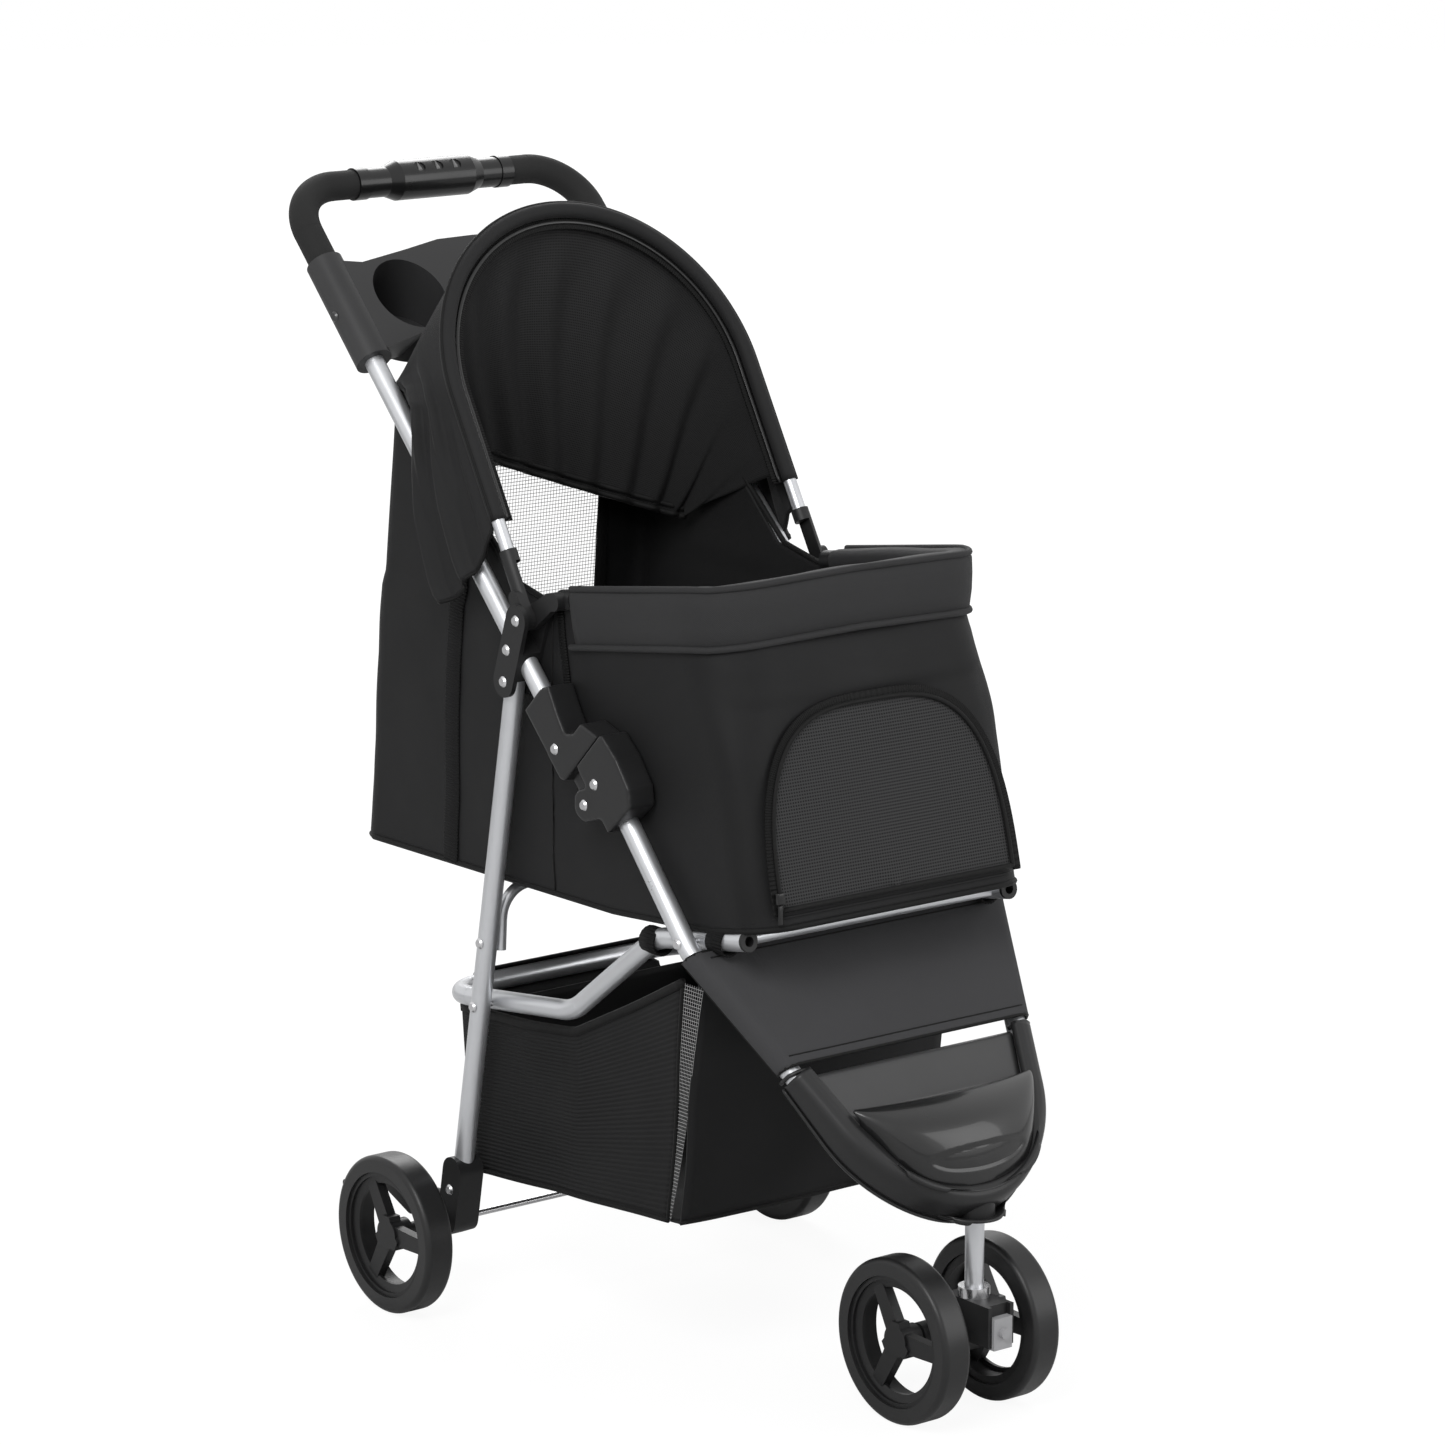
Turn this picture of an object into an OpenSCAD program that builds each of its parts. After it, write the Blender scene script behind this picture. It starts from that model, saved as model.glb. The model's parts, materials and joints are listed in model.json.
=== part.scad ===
// Folding pet stroller with a fabric cabin, a hood, a lower basket,
// two rear wheels and a twin-wheel swivel caster at the front.
// Millimetres. +Z is up, the stroller faces -Y, and +X is the pusher's left.
// Heights are above the floor. Every "ahead" size is measured forward from
// the rear axle.

/* [Frame] */
// Distance between the centre planes of the left and right side tubes
frame_w = 330; // [328:1:338]
// Outside diameter of the frame tubes
tube_d = 18; // [17:0.5:18.5]
// Wall thickness of the frame tubes
tube_wall = 1.5; // [1:0.1:2]
// Distance between the centre planes of the cradle's side tubes
cradle_w = 289; // [286:1:290]
// Diameter of the rivets
rivet_d = 5; // [4:0.5:6]
// Diameter of a rivet's head
rivet_head_d = 10; // [8:0.5:12]
// Height of a rivet's head
rivet_head_h = 1.8; // [1:0.1:2.5]

/* [Fold linkage] */
// How far ahead the rear legs' upper pivot is
leg_pivot_ahead = 114; // [112:1:116]
// Height of the rear legs' upper pivot
leg_pivot_h = 594; // [590:1:598]
// Distance along the handle from that pivot down to the fold hinge
hinge_run = 147; // [144:1:150]
// Distance between the fold hinge and the front legs' axis
hinge_drop = 24.7; // [24.5:0.1:26]
// Slope of the front legs
leg_slope = 48.7; // [48:0.1:49.4]
// Distance along a front leg from the fold hinge to its bend
leg_run = 167; // [165:1:170]
// Distance along a front leg from the fold hinge to the cradle's front pivot
cradle_pivot_run = 154; // [152:1:156]
// Slope of the front legs below their bend
nose_slope = 47; // [46:0.1:48]
// Distance between the middle of the legs' nose arc and its two corners
nose_half = 81; // [78:1:85]
// Height of the cradle's rear pivot on the rear legs
cradle_pivot_h = 287; // [284:1:290]

/* [Handle] */
// Slope of the handle
handle_slope = 45.2; // [44.5:0.1:46]
// Distance from the rear legs' upper pivot up to the handle's axis
handle_rise = 24; // [23:0.5:25]
// Distance along the handle from that pivot to its crossbar
handle_run = 530; // [515:5:545]
// Distance between the centre lines of the handle's arms at the crossbar
handle_w = 316; // [312:1:322]
// Bend radius of the handle's corners
handle_bend = 50; // [42:1:56]
// Outside diameter of the foam sleeves
foam_d = 27; // [25:0.5:29]
// Outside diameter of the centre grip's swollen middle
grip_d = 37; // [34:0.5:40]
// Length of the centre grip
grip_len = 146; // [138:1:150]
// Length of each grip collar
collar_len = 13; // [10:1:15]

/* [Cup tray] */
// Distance along the handle from the rear legs' pivot to the tray
tray_run = 333; // [328:1:338]
// Length of the tray along the handle
tray_len = 112; // [108:1:116]
// Bore of each cup well
cup_d = 73; // [68:1:75]
// Depth of each cup well
cup_depth = 46; // [40:1:50]
// Distance between the two cup wells
cup_spacing = 196; // [188:1:198]

/* [Rear legs] */
// How far ahead the foot of a rear leg is
foot_ahead = 19; // [17:1:21]
// Height of the foot of a rear leg
foot_h = 86; // [84:1:90]
// Diameter of the rear axle
axle_d = 6; // [5:0.5:7]
// Diameter of the arched brace between the rear legs
brace_d = 10; // [9:0.5:11]
// Height at which the brace is riveted to the rear legs
brace_h = 348; // [344:1:352]

/* [Wheels] */
// Outside diameter of the wheels
wheel_d = 145; // [142:1:150]
// Width of a tyre
tyre_w = 29; // [27:0.5:30]
// Distance between the rear wheels' middle planes
rear_track = 444; // [442:1:452]
// Distance between the front wheels' middle planes
front_track = 100; // [98:1:106]
// Distance between the rear and the front axle
wheelbase = 508; // [504:1:512]
// How far the front axle trails behind the swivel stem
trail = 33; // [31:1:35]
// Diameter of the swivel stem
stem_d = 16.5; // [15:0.5:17]

/* [Cabin] */
// Outside width of the cabin
cabin_w = 296; // [290:1:297]
// Thickness of the cabin's padded walls
cabin_wall = 5; // [4:0.5:6]
// Height of the cabin's floor at its rear edge
cabin_floor_h = 403; // [402:1:406]
// Height of the rim at the cabin's front
cabin_front_h = 712; // [708:1:716]
// Diameter of the rim hoop in the hem of the cabin's front edge
hoop_d = 15; // [13:0.5:15.5]

/* [Hood] */
// Slope of the hood's bow when it is open
bow_slope = 60; // [58:1:62]
// Distance from the bow's pivot to its top
bow_run = 374; // [366:2:380]
// Diameter of the bow
bow_d = 12; // [11:0.5:12.5]

/* [Basket] */
// Outside width of the basket
basket_w = 290; // [284:1:294]
// Thickness of the basket's fabric walls
basket_wall = 3; // [2.5:0.5:4]
// Height of the basket's floor above the ground at its rear edge
basket_h = 120; // [116:1:128]

/* [Hidden] */

// Clearances of a fixed fit and of a turning fit, and the gap between faces
fit = 0.1;
running = 0.08;
gap = 0.4;
$fn = 64;

wheel_r = wheel_d / 2;
tube_r = tube_d / 2;
side_x = frame_w / 2;
cradle_x = cradle_w / 2;
leg_in_x = side_x - tube_r;
leg_out_x = side_x + tube_r;
cradle_out_x = cradle_x + tube_r;
cabin_x = cabin_w / 2;

// Front of the caster's fork ahead of its stem, and of the lock on it
fork_front = 35;
lock_plate = 3;
lock_knob = 4;

// Side-view points are [y, z] from the rear axle's floor point. The whole
// stroller moves back by shift_y, which centres its box on the origin.
rise_dir = [cos(handle_slope), sin(handle_slope)];
rise_up = [-sin(handle_slope), cos(handle_slope)];
leg_pivot = [-leg_pivot_ahead, leg_pivot_h];
handle_foot = leg_pivot + handle_rise * rise_up;
bar_yz = handle_foot + handle_run * rise_dir;
front_end = max(wheelbase + wheel_r, wheelbase + trail + fork_front + lock_plate + lock_knob);
shift_y = (front_end - bar_yz[0] - grip_d / 2) / 2;

hinge = handle_foot - hinge_run * rise_dir;
run_dir = [-cos(leg_slope), -sin(leg_slope)];
run_up = [-sin(leg_slope), cos(leg_slope)];
leg_root = hinge + hinge_drop * run_up;
cradle_front = leg_root + cradle_pivot_run * run_dir;
leg_bend = leg_root + leg_run * run_dir;
nose_dir = [-cos(nose_slope), -sin(nose_slope)];
nose_up = [-sin(nose_slope), cos(nose_slope)];
stem_y = -wheelbase - trail;
nose_run = (leg_bend[0] - stem_y) / cos(nose_slope);
nose_z = (leg_bend + nose_run * nose_dir)[1];

foot = [-foot_ahead, foot_h];
rear_leg_len = norm(leg_pivot - foot);
leg_dir = (leg_pivot - foot) / rear_leg_len;
axle_yz = [0, wheel_r];

// Point on the rear legs' axis at height z
function on_rear_leg(z) = foot + leg_dir * (z - foot_h) / leg_dir[1];
cradle_rear = on_rear_leg(cradle_pivot_h);
brace_foot = on_rear_leg(brace_h);

// ---------------------------------------------------------------- helpers

// Puts its children in the stroller's own frame
module placed() {
    translate([0, shift_y, 0]) children();
}

// Mirrors its children to the pusher's right for side = -1
module on_side(side) {
    if (side > 0) children();
    else mirror([1, 0, 0]) children();
}

// Extrudes a side-view outline from x0 over the thickness t along X
module side_slab(x0, t) {
    translate([x0, 0, 0]) rotate([90, 0, 90]) linear_extrude(t) children();
}

// 2-D frame of the handle in the side view: X runs up along it
module in_handle() {
    translate(handle_foot) rotate(handle_slope) children();
}

// 2-D frame of a front leg in the side view: X runs down along it from the hinge
module in_leg() {
    translate(leg_root) rotate(180 + leg_slope) children();
}

// 3-D frame of the handle: Y runs up along it, Z stands off its front
module handle_frame() {
    translate([0, handle_foot[0], handle_foot[1]]) rotate([handle_slope, 0, 0]) children();
}

// 3-D frame of the lower front legs: Y runs down along them, Z stands off
// their front
module nose_frame() {
    translate([0, leg_bend[0], leg_bend[1]]) rotate([nose_slope, 0, 0])
        mirror([0, 1, 0]) children();
}

// Straight rod of diameter d between two points in space
module rod(a, b, d) {
    v = b - a;
    translate(a) rotate([0, acos(v[2] / norm(v)), atan2(v[1], v[0])]) cylinder(h = norm(v), d = d);
}

// Round pin along X at a side-view point
module pin_x(p, x0, x1, d) {
    translate([x0, p[0], p[1]]) rotate([0, 90, 0]) cylinder(h = x1 - x0, d = d);
}

// Rivet along X with its head on the face x_head and its shank ending at x_end
module rivet_x(p, x_head, x_end) {
    pin_x(p, min(x_head, x_end), max(x_head, x_end), rivet_d);
    translate([x_head, p[0], p[1]]) rotate([0, x_head > x_end ? 90 : -90, 0])
        cylinder(h = rivet_head_h, d1 = rivet_head_d, d2 = rivet_head_d * 0.7);
}

function unit(v) = v / norm(v);
function at_side(x, p) = [x, p[0], p[1]];
function turn(p, i) = acos(unit(p[i] - p[i - 1]) * unit(p[i + 1] - p[i]));
function cut_back(p, r, i) =
    i <= 0 || i >= len(p) - 1 || turn(p, i) < 0.01 ? 0 : r[i] * tan(turn(p, i) / 2);

// Puts its children at p with their axes along e1, e2 and e3
module on_axes(p, e1, e2, e3) {
    steep = abs(e1[2]) > 0.9999;
    about_x = steep ? atan2(-sign(e1[2]) * e2[0], e2[1]) : atan2(e2[2], e3[2]);
    about_z = steep ? 0 : atan2(e1[1], e1[0]);
    translate(p) rotate([about_x, asin(max(-1, min(1, -e1[2]))), about_z]) children();
}

// Round bar of diameter d along the points p, with a bend of radius r[i] at
// each inner point. A bend is thicker than the straights by a hair, and takes
// in their ends, so that the pieces join without a seam.
bend_grow = 0.2;
bend_lap = 1.5;

module bent_bar(p, r, d) {
    for (i = [0 : len(p) - 2]) {
        u = unit(p[i + 1] - p[i]);
        lap0 = i == 0 ? 0 : bend_lap;
        lap1 = i == len(p) - 2 ? 0 : bend_lap;
        rod(p[i] + u * (cut_back(p, r, i) - lap0), p[i + 1] - u * (cut_back(p, r, i + 1) - lap1), d);
    }
    for (i = [1 : len(p) - 2]) {
        u = unit(p[i] - p[i - 1]);
        w = unit(cross(u, unit(p[i + 1] - p[i])));
        inward = cross(w, u);
        start = p[i] - u * cut_back(p, r, i);
        on_axes(start + inward * r[i], -inward, u, w)
            rotate_extrude(angle = turn(p, i)) translate([r[i], 0]) circle(d = d + bend_grow);
    }
}

// The same path with both ends moved outward by e
function longer(p, e) = [for (i = [0 : len(p) - 1])
    i == 0 ? p[0] + unit(p[0] - p[1]) * e :
    i == len(p) - 1 ? p[i] + unit(p[i] - p[i - 1]) * e : p[i]];

// Bent bar with a round bore of diameter b all along it
module bent_pipe(p, r, d, b) {
    difference() {
        bent_bar(p, r, d);
        bent_bar(longer(p, 1), r, b);
    }
}

// Hollow bent tube that is open at both ends
module bent_tube(p, r, d, wall) {
    bent_pipe(p, r, d, d - 2 * wall);
}

// Path that mirrors the points p to the other side and joins the two halves
function both_sides(p) = concat(p, [for (i = [len(p) - 1 : -1 : 0]) [-p[i][0], p[i][1], p[i][2]]]);
function both_bends(r) = concat(r, [for (i = [len(r) - 1 : -1 : 0]) r[i]]);

// Outline of two discs joined by their outer tangents
module link_outline(a, ra, b, rb) {
    u = unit(b - a);
    s = (ra - rb) / norm(b - a);
    c = sqrt(1 - s * s);
    n1 = [u[0] * s - u[1] * c, u[1] * s + u[0] * c];
    n2 = [u[0] * s + u[1] * c, u[1] * s - u[0] * c];
    translate(a) circle(r = ra);
    translate(b) circle(r = rb);
    polygon([a + n1 * ra, b + n1 * rb, b + n2 * rb, a + n2 * ra]);
}

// Rectangle with its four corners rounded, exact arcs
module rounded_rect(x0, x1, y0, y1, r) {
    translate([x0 + r, y0]) square([x1 - x0 - 2 * r, y1 - y0]);
    translate([x0, y0 + r]) square([x1 - x0, y1 - y0 - 2 * r]);
    for (x = [x0 + r, x1 - r], y = [y0 + r, y1 - r]) translate([x, y]) circle(r = r);
}

// ----------------------------------------------------------------- handle

handle_low = -107;
arm_top = handle_run - handle_bend;
bar_half = handle_w / 2 - handle_bend;
arm_lean = (side_x - handle_w / 2) / (handle_run - handle_low);

// Centre line of one arm of the handle, at a distance s along it
function arm_x(s) = side_x - arm_lean * (s - handle_low);
handle_path = both_sides([[side_x, handle_low, 0], [handle_w / 2, handle_run, 0]]);
handle_bends = [0, handle_bend, handle_bend, 0];

// Stretch of a straight arm between two distances along the handle
module arm_rod(side, s0, s1, d) {
    rod([side * arm_x(s0), s0, 0], [side * arm_x(s1), s1, 0], d);
}

plate_rivet = handle_foot + 17 * rise_dir;
joint_rivet = handle_foot - 88 * rise_dir;
tray_rivet_s = tray_run + 53;
tray_rivet = handle_foot + tray_rivet_s * rise_dir;

module handle_tube() {
    color("silver") placed() difference() {
        handle_frame() bent_tube(handle_path, handle_bends, tube_d, tube_wall);
        for (p = [plate_rivet, joint_rivet, tray_rivet])
            pin_x(p, -leg_out_x - 9, leg_out_x + 9, rivet_d + 2 * fit);
    }
}

grip_end = grip_len / 2;
collar_end = grip_end + gap + collar_len;
tray_top_s = tray_run + tray_len;

module handle_foam(side) {
    s0 = tray_top_s + gap;
    color("#1c1c1c") placed() handle_frame() on_side(side) bent_pipe(
        [[arm_x(s0), s0, 0], [handle_w / 2, handle_run, 0], [collar_end + gap, handle_run, 0]],
        [0, handle_bend, 0], foam_d, tube_d + 2 * fit);
}

// Centre grip: a swollen sleeve with three shallow thumb recesses
neck_r = 14;
swell_half = 46;
recess_pitch = 20;

module handle_grip() {
    bore_r = tube_r + fit;
    color("#101010") placed() handle_frame() translate([0, handle_run, 0]) difference() {
        rotate([0, 90, 0]) rotate_extrude() polygon([
            [bore_r, -grip_end], [neck_r, -grip_end], [neck_r, -swell_half - 6],
            [grip_d / 2, -swell_half + 6], [grip_d / 2, swell_half - 6], [neck_r, swell_half + 6],
            [neck_r, grip_end], [bore_r, grip_end]
        ]);
        for (i = [-1, 0, 1]) translate([i * recess_pitch, 0, grip_d / 2 - 1.5]) cylinder(h = 5, d = 12);
    }
}

module grip_collars() {
    color("#181818") placed() handle_frame() for (side = [-1, 1]) on_side(side)
        translate([grip_end + gap, handle_run, 0]) rotate([0, 90, 0]) difference() {
            cylinder(h = collar_len, d = 2 * neck_r + 2);
            translate([0, 0, -1]) cylinder(h = collar_len + 2, r = tube_r + fit);
        }
}

// --------------------------------------------------------------- cup tray

tray_top = 15;
tray_skirt = 13;
tray_wall = 3;
ear_d = 34;
well_lean = 20;
tray_mid = tray_run + tray_len * 0.53;

// Outline of the tray in the plane of the handle, grown by g
module tray_outline(g) {
    lo = tray_run - g;
    hi = tray_top_s + g;
    x = side_x - 6 + g;
    polygon([
        [-x, lo + 2], [-96, lo + 18], [0, lo + 22], [96, lo + 18], [x, lo + 2], [x, hi - 8],
        [131, hi - 13], [80, hi - 4], [40, hi + 4], [0, hi + 5], [-40, hi + 4], [-80, hi - 4],
        [-131, hi - 13], [-x, hi - 8]
    ]);
}

module cup_wells(d, h) {
    for (side = [-1, 1]) translate([side * cup_spacing / 2, tray_mid, tray_top])
        rotate([-well_lean, 0, 0]) translate([0, 0, -h]) cylinder(h = h + 40, d = d);
}

module cup_tray() {
    color("#141414") placed() difference() {
        handle_frame() difference() {
            union() {
                translate([0, 0, tray_top - tray_wall]) linear_extrude(tray_wall) tray_outline(0);
                translate([0, 0, -tray_skirt]) linear_extrude(tray_top + tray_skirt - 0.5) difference() {
                    tray_outline(0);
                    tray_outline(-tray_wall);
                }
                intersection() {
                    cup_wells(cup_d + 2 * tray_wall, cup_depth + tray_wall);
                    translate([-side_x, tray_run - 30, tray_top - 90])
                        cube([2 * side_x, tray_len + 60, 90]);
                }
                for (side = [-1, 1]) arm_rod(side, tray_run, tray_top_s, ear_d);
            }
            cup_wells(cup_d, cup_depth);
            for (side = [-1, 1]) arm_rod(side, tray_run - 9, tray_top_s + 9, tube_d + 2 * fit);
        }
        pin_x(tray_rivet, -leg_out_x - 20, leg_out_x + 20, rivet_d + 2 * fit);
    }
}

module tray_rivets() {
    ear_out = arm_x(tray_rivet_s) + ear_d / 2 + fit;
    color("dimgray") placed() for (side = [-1, 1]) on_side(side)
        rivet_x(tray_rivet, ear_out, ear_out - ear_d + 4);
}

// ------------------------------------------------------------ side joints

cheek_t = 4.5;
cheek_in = leg_in_x - gap - cheek_t;
cheek_out = leg_out_x + gap;
cheek_end = cheek_out + cheek_t;
hood_pivot = handle_foot + 27 * rise_dir + 29.6 * rise_up;
plate_r = 14;

// Plate pair that carries the handle, the rear leg, the hood and the rim
module joint_plate(side) {
    color("#161616") placed() on_side(side) difference() {
        union() {
            for (x = [cheek_in, cheek_out]) side_slab(x, cheek_t) {
                link_outline(leg_pivot, plate_r, hood_pivot, plate_r);
            }
            side_slab(cheek_in, cheek_end - cheek_in) intersection() {
                link_outline(leg_pivot, plate_r, hood_pivot, plate_r);
                in_handle() translate([-60, -tube_r - 3]) square([120, tube_d + 6]);
            }
        }
        handle_frame() arm_rod(1, -80, 90, tube_d + 2 * fit);
        for (p = [leg_pivot, hood_pivot, plate_rivet])
            pin_x(p, cheek_in - 1, cheek_end + 1, rivet_d + 2 * fit);
        side_slab(leg_in_x - gap, tube_d + 2 * gap) {
            translate(leg_pivot) circle(r = norm([tube_r, tube_r]) + gap);
            translate(hood_pivot) circle(r = eye_r + 1);
        }
    }
}

// Rivets that stay with the handle: plate, hood pivot and fold joint
module frame_rivets() {
    color("lightgray") placed() for (side = [-1, 1]) on_side(side) {
        for (p = [leg_pivot, hood_pivot, plate_rivet]) rivet_x(p, cheek_end, cheek_in);
        rivet_x(joint_rivet, joint_end, joint_in);
    }
}

// -------------------------------------------------------------- fold joint

joint_in = side_x - 11.5;
joint_end = side_x + 17;
tongue_t = 9;
tongue_r = 14.4;
barrel_r = 14.6;
joint_face = -hinge_run + 31;

// Everything that the tongue and the upper half sweep on the lower half
module joint_upper_outline() {
    in_handle() polygon([
        [-38, -12.5], [-38, 21], [-43, 31], [-69, 24], [-86, 21], [-93, 31], [-93, 46],
        [joint_face, 58], [joint_face, -9], [joint_face + 4, -12.5]
    ]);
}

module fold_joint_upper(side) {
    color("#151515") placed() on_side(side) difference() {
        union() {
            side_slab(joint_in, joint_end - joint_in) joint_upper_outline();
            side_slab(side_x - tongue_t / 2, tongue_t) {
                translate(hinge) circle(r = tongue_r);
                in_handle() translate([-hinge_run, -tongue_r + 2])
                    square([40, tongue_r - 2 + hinge_drop - tube_r - 3.6]);
            }
        }
        handle_frame() rod([arm_x(handle_low), handle_low - 0.2, 0],
            [arm_x(-20), -20, 0], tube_d + 2 * fit);
        pin_x(hinge, joint_in - 1, joint_end + 1, rivet_d + 2 * running);
        pin_x(joint_rivet, joint_in - 1, joint_end + 1, rivet_d + 2 * fit);
        // Room for the leg pivot's rear leg and plate edges
        side_slab(cheek_in - gap, cheek_end - cheek_in + 2 * gap)
            link_outline(leg_pivot, plate_r + gap, hood_pivot, plate_r + gap);
    }
}

leg_rivet = leg_root + 6 * run_dir - 12 * run_dir;

module fold_joint_lower(side) {
    color("#151515") placed() on_side(side) difference() {
        union() {
            side_slab(joint_in, joint_end - joint_in) difference() {
                in_leg() mirror([0, 1]) polygon([
                    [-48, 26], [-34, 37], [-6, 41], [22, 39], [36, 30], [36, -12], [-40, -12]
                ]);
                in_handle() translate([joint_face - gap, -80]) square(200);
            }
            for (x = [joint_in, side_x + tongue_t / 2 + gap])
                side_slab(x, x < side_x ? side_x - tongue_t / 2 - gap - joint_in
                                        : joint_end - x) {
                    translate(hinge) circle(r = barrel_r);
                    link_outline(hinge, barrel_r, leg_root + 14 * run_dir, 12);
                }
        }
        at_leg_rod(leg_top_run, leg_run, tube_d + 2 * fit);
        side_slab(side_x - tongue_t / 2 - gap, tongue_t + 2 * gap) {
            translate(hinge) circle(r = tongue_r + gap);
        }
        pin_x(hinge, joint_in - 1, joint_end + 1, rivet_d + 2 * fit);
        pin_x(leg_rivet, joint_in - 1, joint_end + 1, rivet_d + 2 * fit);
    }
}

// Fold hinge pins and the rivets that hold the lower halves to the legs
module fold_pins() {
    color("lightgray") placed() for (side = [-1, 1]) on_side(side) {
        rivet_x(hinge, joint_end, joint_in);
        rivet_x(leg_rivet, joint_end, joint_in);
    }
}

// -------------------------------------------------------------- front legs

leg_top_run = -24;

module at_leg_rod(t0, t1, d) {
    rod(at_side(side_x, leg_root + t0 * run_dir), at_side(side_x, leg_root + t1 * run_dir), d);
}

// Point in the plane of the lower legs, x across and v along
function in_nose(x, v) = at_side(x, leg_bend + v * nose_dir);
nose_turn = acos(unit([nose_half - side_x, nose_run]) * [-1, 0]);
nose_r = nose_half / tan((180 - nose_turn) / 2) - 0.5;
leg_path = both_sides([
    at_side(side_x, leg_root + leg_top_run * run_dir), at_side(side_x, leg_bend),
    in_nose(nose_half, nose_run)
]);
leg_bends = both_bends([0, 80, nose_half / tan(turn(leg_path, 2) / 2) - 0.5]);

module front_leg_tube() {
    color("silver") placed() difference() {
        bent_tube(leg_path, leg_bends, tube_d, tube_wall);
        for (p = [leg_rivet, cradle_front])
            pin_x(p, -leg_out_x - 9, leg_out_x + 9, rivet_d + 2 * fit);
    }
}

// Rivets on the legs at the cradle's front pivot; the cradle rides on their
// inner ends with a running gap
module cradle_pins() {
    color("lightgray") placed() for (side = [-1, 1]) on_side(side)
        rivet_x(cradle_front, leg_out_x, cradle_out_x + gap);
}

banner_t = 3;
banner_v = 16;
banner_over = 12;
banner_end = nose_run * 0.48;

// Half width of the lower legs' centre lines at a distance v down them
function leg_half(v) = side_x + (nose_half - side_x) * v / nose_run;

// Fabric panel across the front of the legs
module banner() {
    v1 = banner_end;
    color("#202020") placed() nose_frame() translate([0, 0, tube_r + gap]) linear_extrude(banner_t)
        polygon([
            [-leg_half(banner_v) - banner_over, banner_v], [leg_half(banner_v) + banner_over, banner_v],
            [leg_half(v1 - 26) + banner_over, v1 - 26], [leg_half(v1 - 12) - 4, v1 - 12],
            [leg_half(v1) - 14, v1], [-leg_half(v1) + 14, v1],
            [-leg_half(v1 - 12) + 4, v1 - 12], [-leg_half(v1 - 26) - banner_over, v1 - 26]
        ]);
}

// -------------------------------------------------------------------- nose

shell_t = 3;
stem_low = 119;
nose_low = 181;
stem_top = nose_z - tube_r - 4;
tray_v0 = banner_end + gap;
// How far the tray stands out beyond the centre line of the legs
nose_over = 12;

// Plan of the nose tray in the plane of the legs, inset by g
module nose_plan(g) {
    difference() {
        union() {
            translate([0, nose_run - leg_bends[2]]) circle(r = leg_bends[2] + nose_over - g);
            polygon([
                [-leg_half(tray_v0) - nose_over + g, tray_v0 + g], [leg_half(tray_v0) + nose_over - g, tray_v0 + g],
                [leg_half(nose_run - nose_half) + nose_over - g, nose_run - nose_half],
                [-leg_half(nose_run - nose_half) - nose_over + g, nose_run - nose_half]
            ]);
        }
        translate([-300, tray_v0 + g - 400]) square([600, 400]);
    }
}

module nose_shape(g) {
    hull() {
        nose_frame() translate([0, 0, -11 + g]) linear_extrude(22 - 2 * g, $fn = 48) nose_plan(g);
        translate([0, stem_y, nose_low + g]) cylinder(h = 8, d = 46 - 2 * g, $fn = 32);
    }
}

// Moulded tray that closes the nose of the legs, with a pocket at the front
module nose_tray() {
    color("#0c0c0c") placed() difference() {
        nose_shape(0);
        bent_bar(leg_path, leg_bends, tube_d + 2 * fit);
        hull() {
            nose_frame() translate([0, 0, 2]) linear_extrude(20, $fn = 48) nose_pocket(0);
            nose_frame() translate([0, 0, -24]) linear_extrude(1, $fn = 48) nose_pocket(34);
        }
        translate([0, stem_y, nose_low - 1]) cylinder(h = nose_z - nose_low + 1 + fit, d = block_d + 2 * fit);
    }
}

block_d = 34;

module nose_pocket(g) {
    intersection() {
        translate([0, nose_run - leg_bends[2]]) circle(r = leg_bends[2] - 16 - g);
        translate([-200, tray_v0 + 14 + g * 0.4]) square([400, 300]);
    }
}

// Socket block that holds the stem and cradles the middle of the nose arc
module nose_block() {
    color("#141414") placed() difference() {
        translate([0, stem_y, nose_low]) cylinder(h = nose_z - nose_low, d = block_d);
        translate([0, stem_y, nose_low - 1]) cylinder(h = stem_top - nose_low + 1 + fit, d = stem_d + 2 * fit);
        bent_bar(leg_path, leg_bends, tube_d + 2 * fit);
    }
}

module caster_stem() {
    color("silver") placed() translate([0, stem_y, stem_low - 24]) cylinder(h = stem_top - stem_low + 24, d = stem_d);
}

// ------------------------------------------------------------------ caster

axle_front = [-wheelbase, wheel_r];
fork_half = 14;
fork_top = stem_low - 9;
front_hub_in = front_track / 2 - tyre_w / 2;
boss_r = 11;

module caster_collar() {
    color("silver") placed() translate([0, stem_y, fork_top + gap / 4]) difference() {
        cylinder(h = 9, d = stem_d + 11);
        translate([0, 0, -1]) cylinder(h = 11, d = stem_d + 2 * running);
    }
}

module fork_outline() {
    y = stem_y;
    translate([y - fork_front, fork_top - 36]) square([fork_front + 22, 36]);
    translate([y + 14, fork_top - 26]) circle(r = 24);
    link_outline([y + 8, fork_top - 31], 19, axle_front, boss_r + 3);
}

module caster_fork() {
    color("#121212") placed() difference() {
        union() {
            side_slab(-fork_half, 2 * fork_half) fork_outline();
            pin_x(axle_front, -front_hub_in + 1, front_hub_in - 1, 2 * boss_r);
        }
        translate([0, stem_y, stem_low - 24 - 0.5]) cylinder(h = 60, d = stem_d + 2 * running);
        pin_x(axle_front, -front_hub_in, front_hub_in, axle_d + 2 * fit);
        pin_x(fork_screw_yz, -fork_half - 1, -fork_half + 8, 5 + 2 * fit);
        // Slot of the swivel lock
        translate([-lock_w / 2 - running, stem_y - fork_front - 1, lock_low - lock_travel - 1])
            cube([lock_w + 2 * running, 5 + running, 80]);
    }
}

fork_screw_yz = [stem_y + 15, fork_top - 7];

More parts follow.
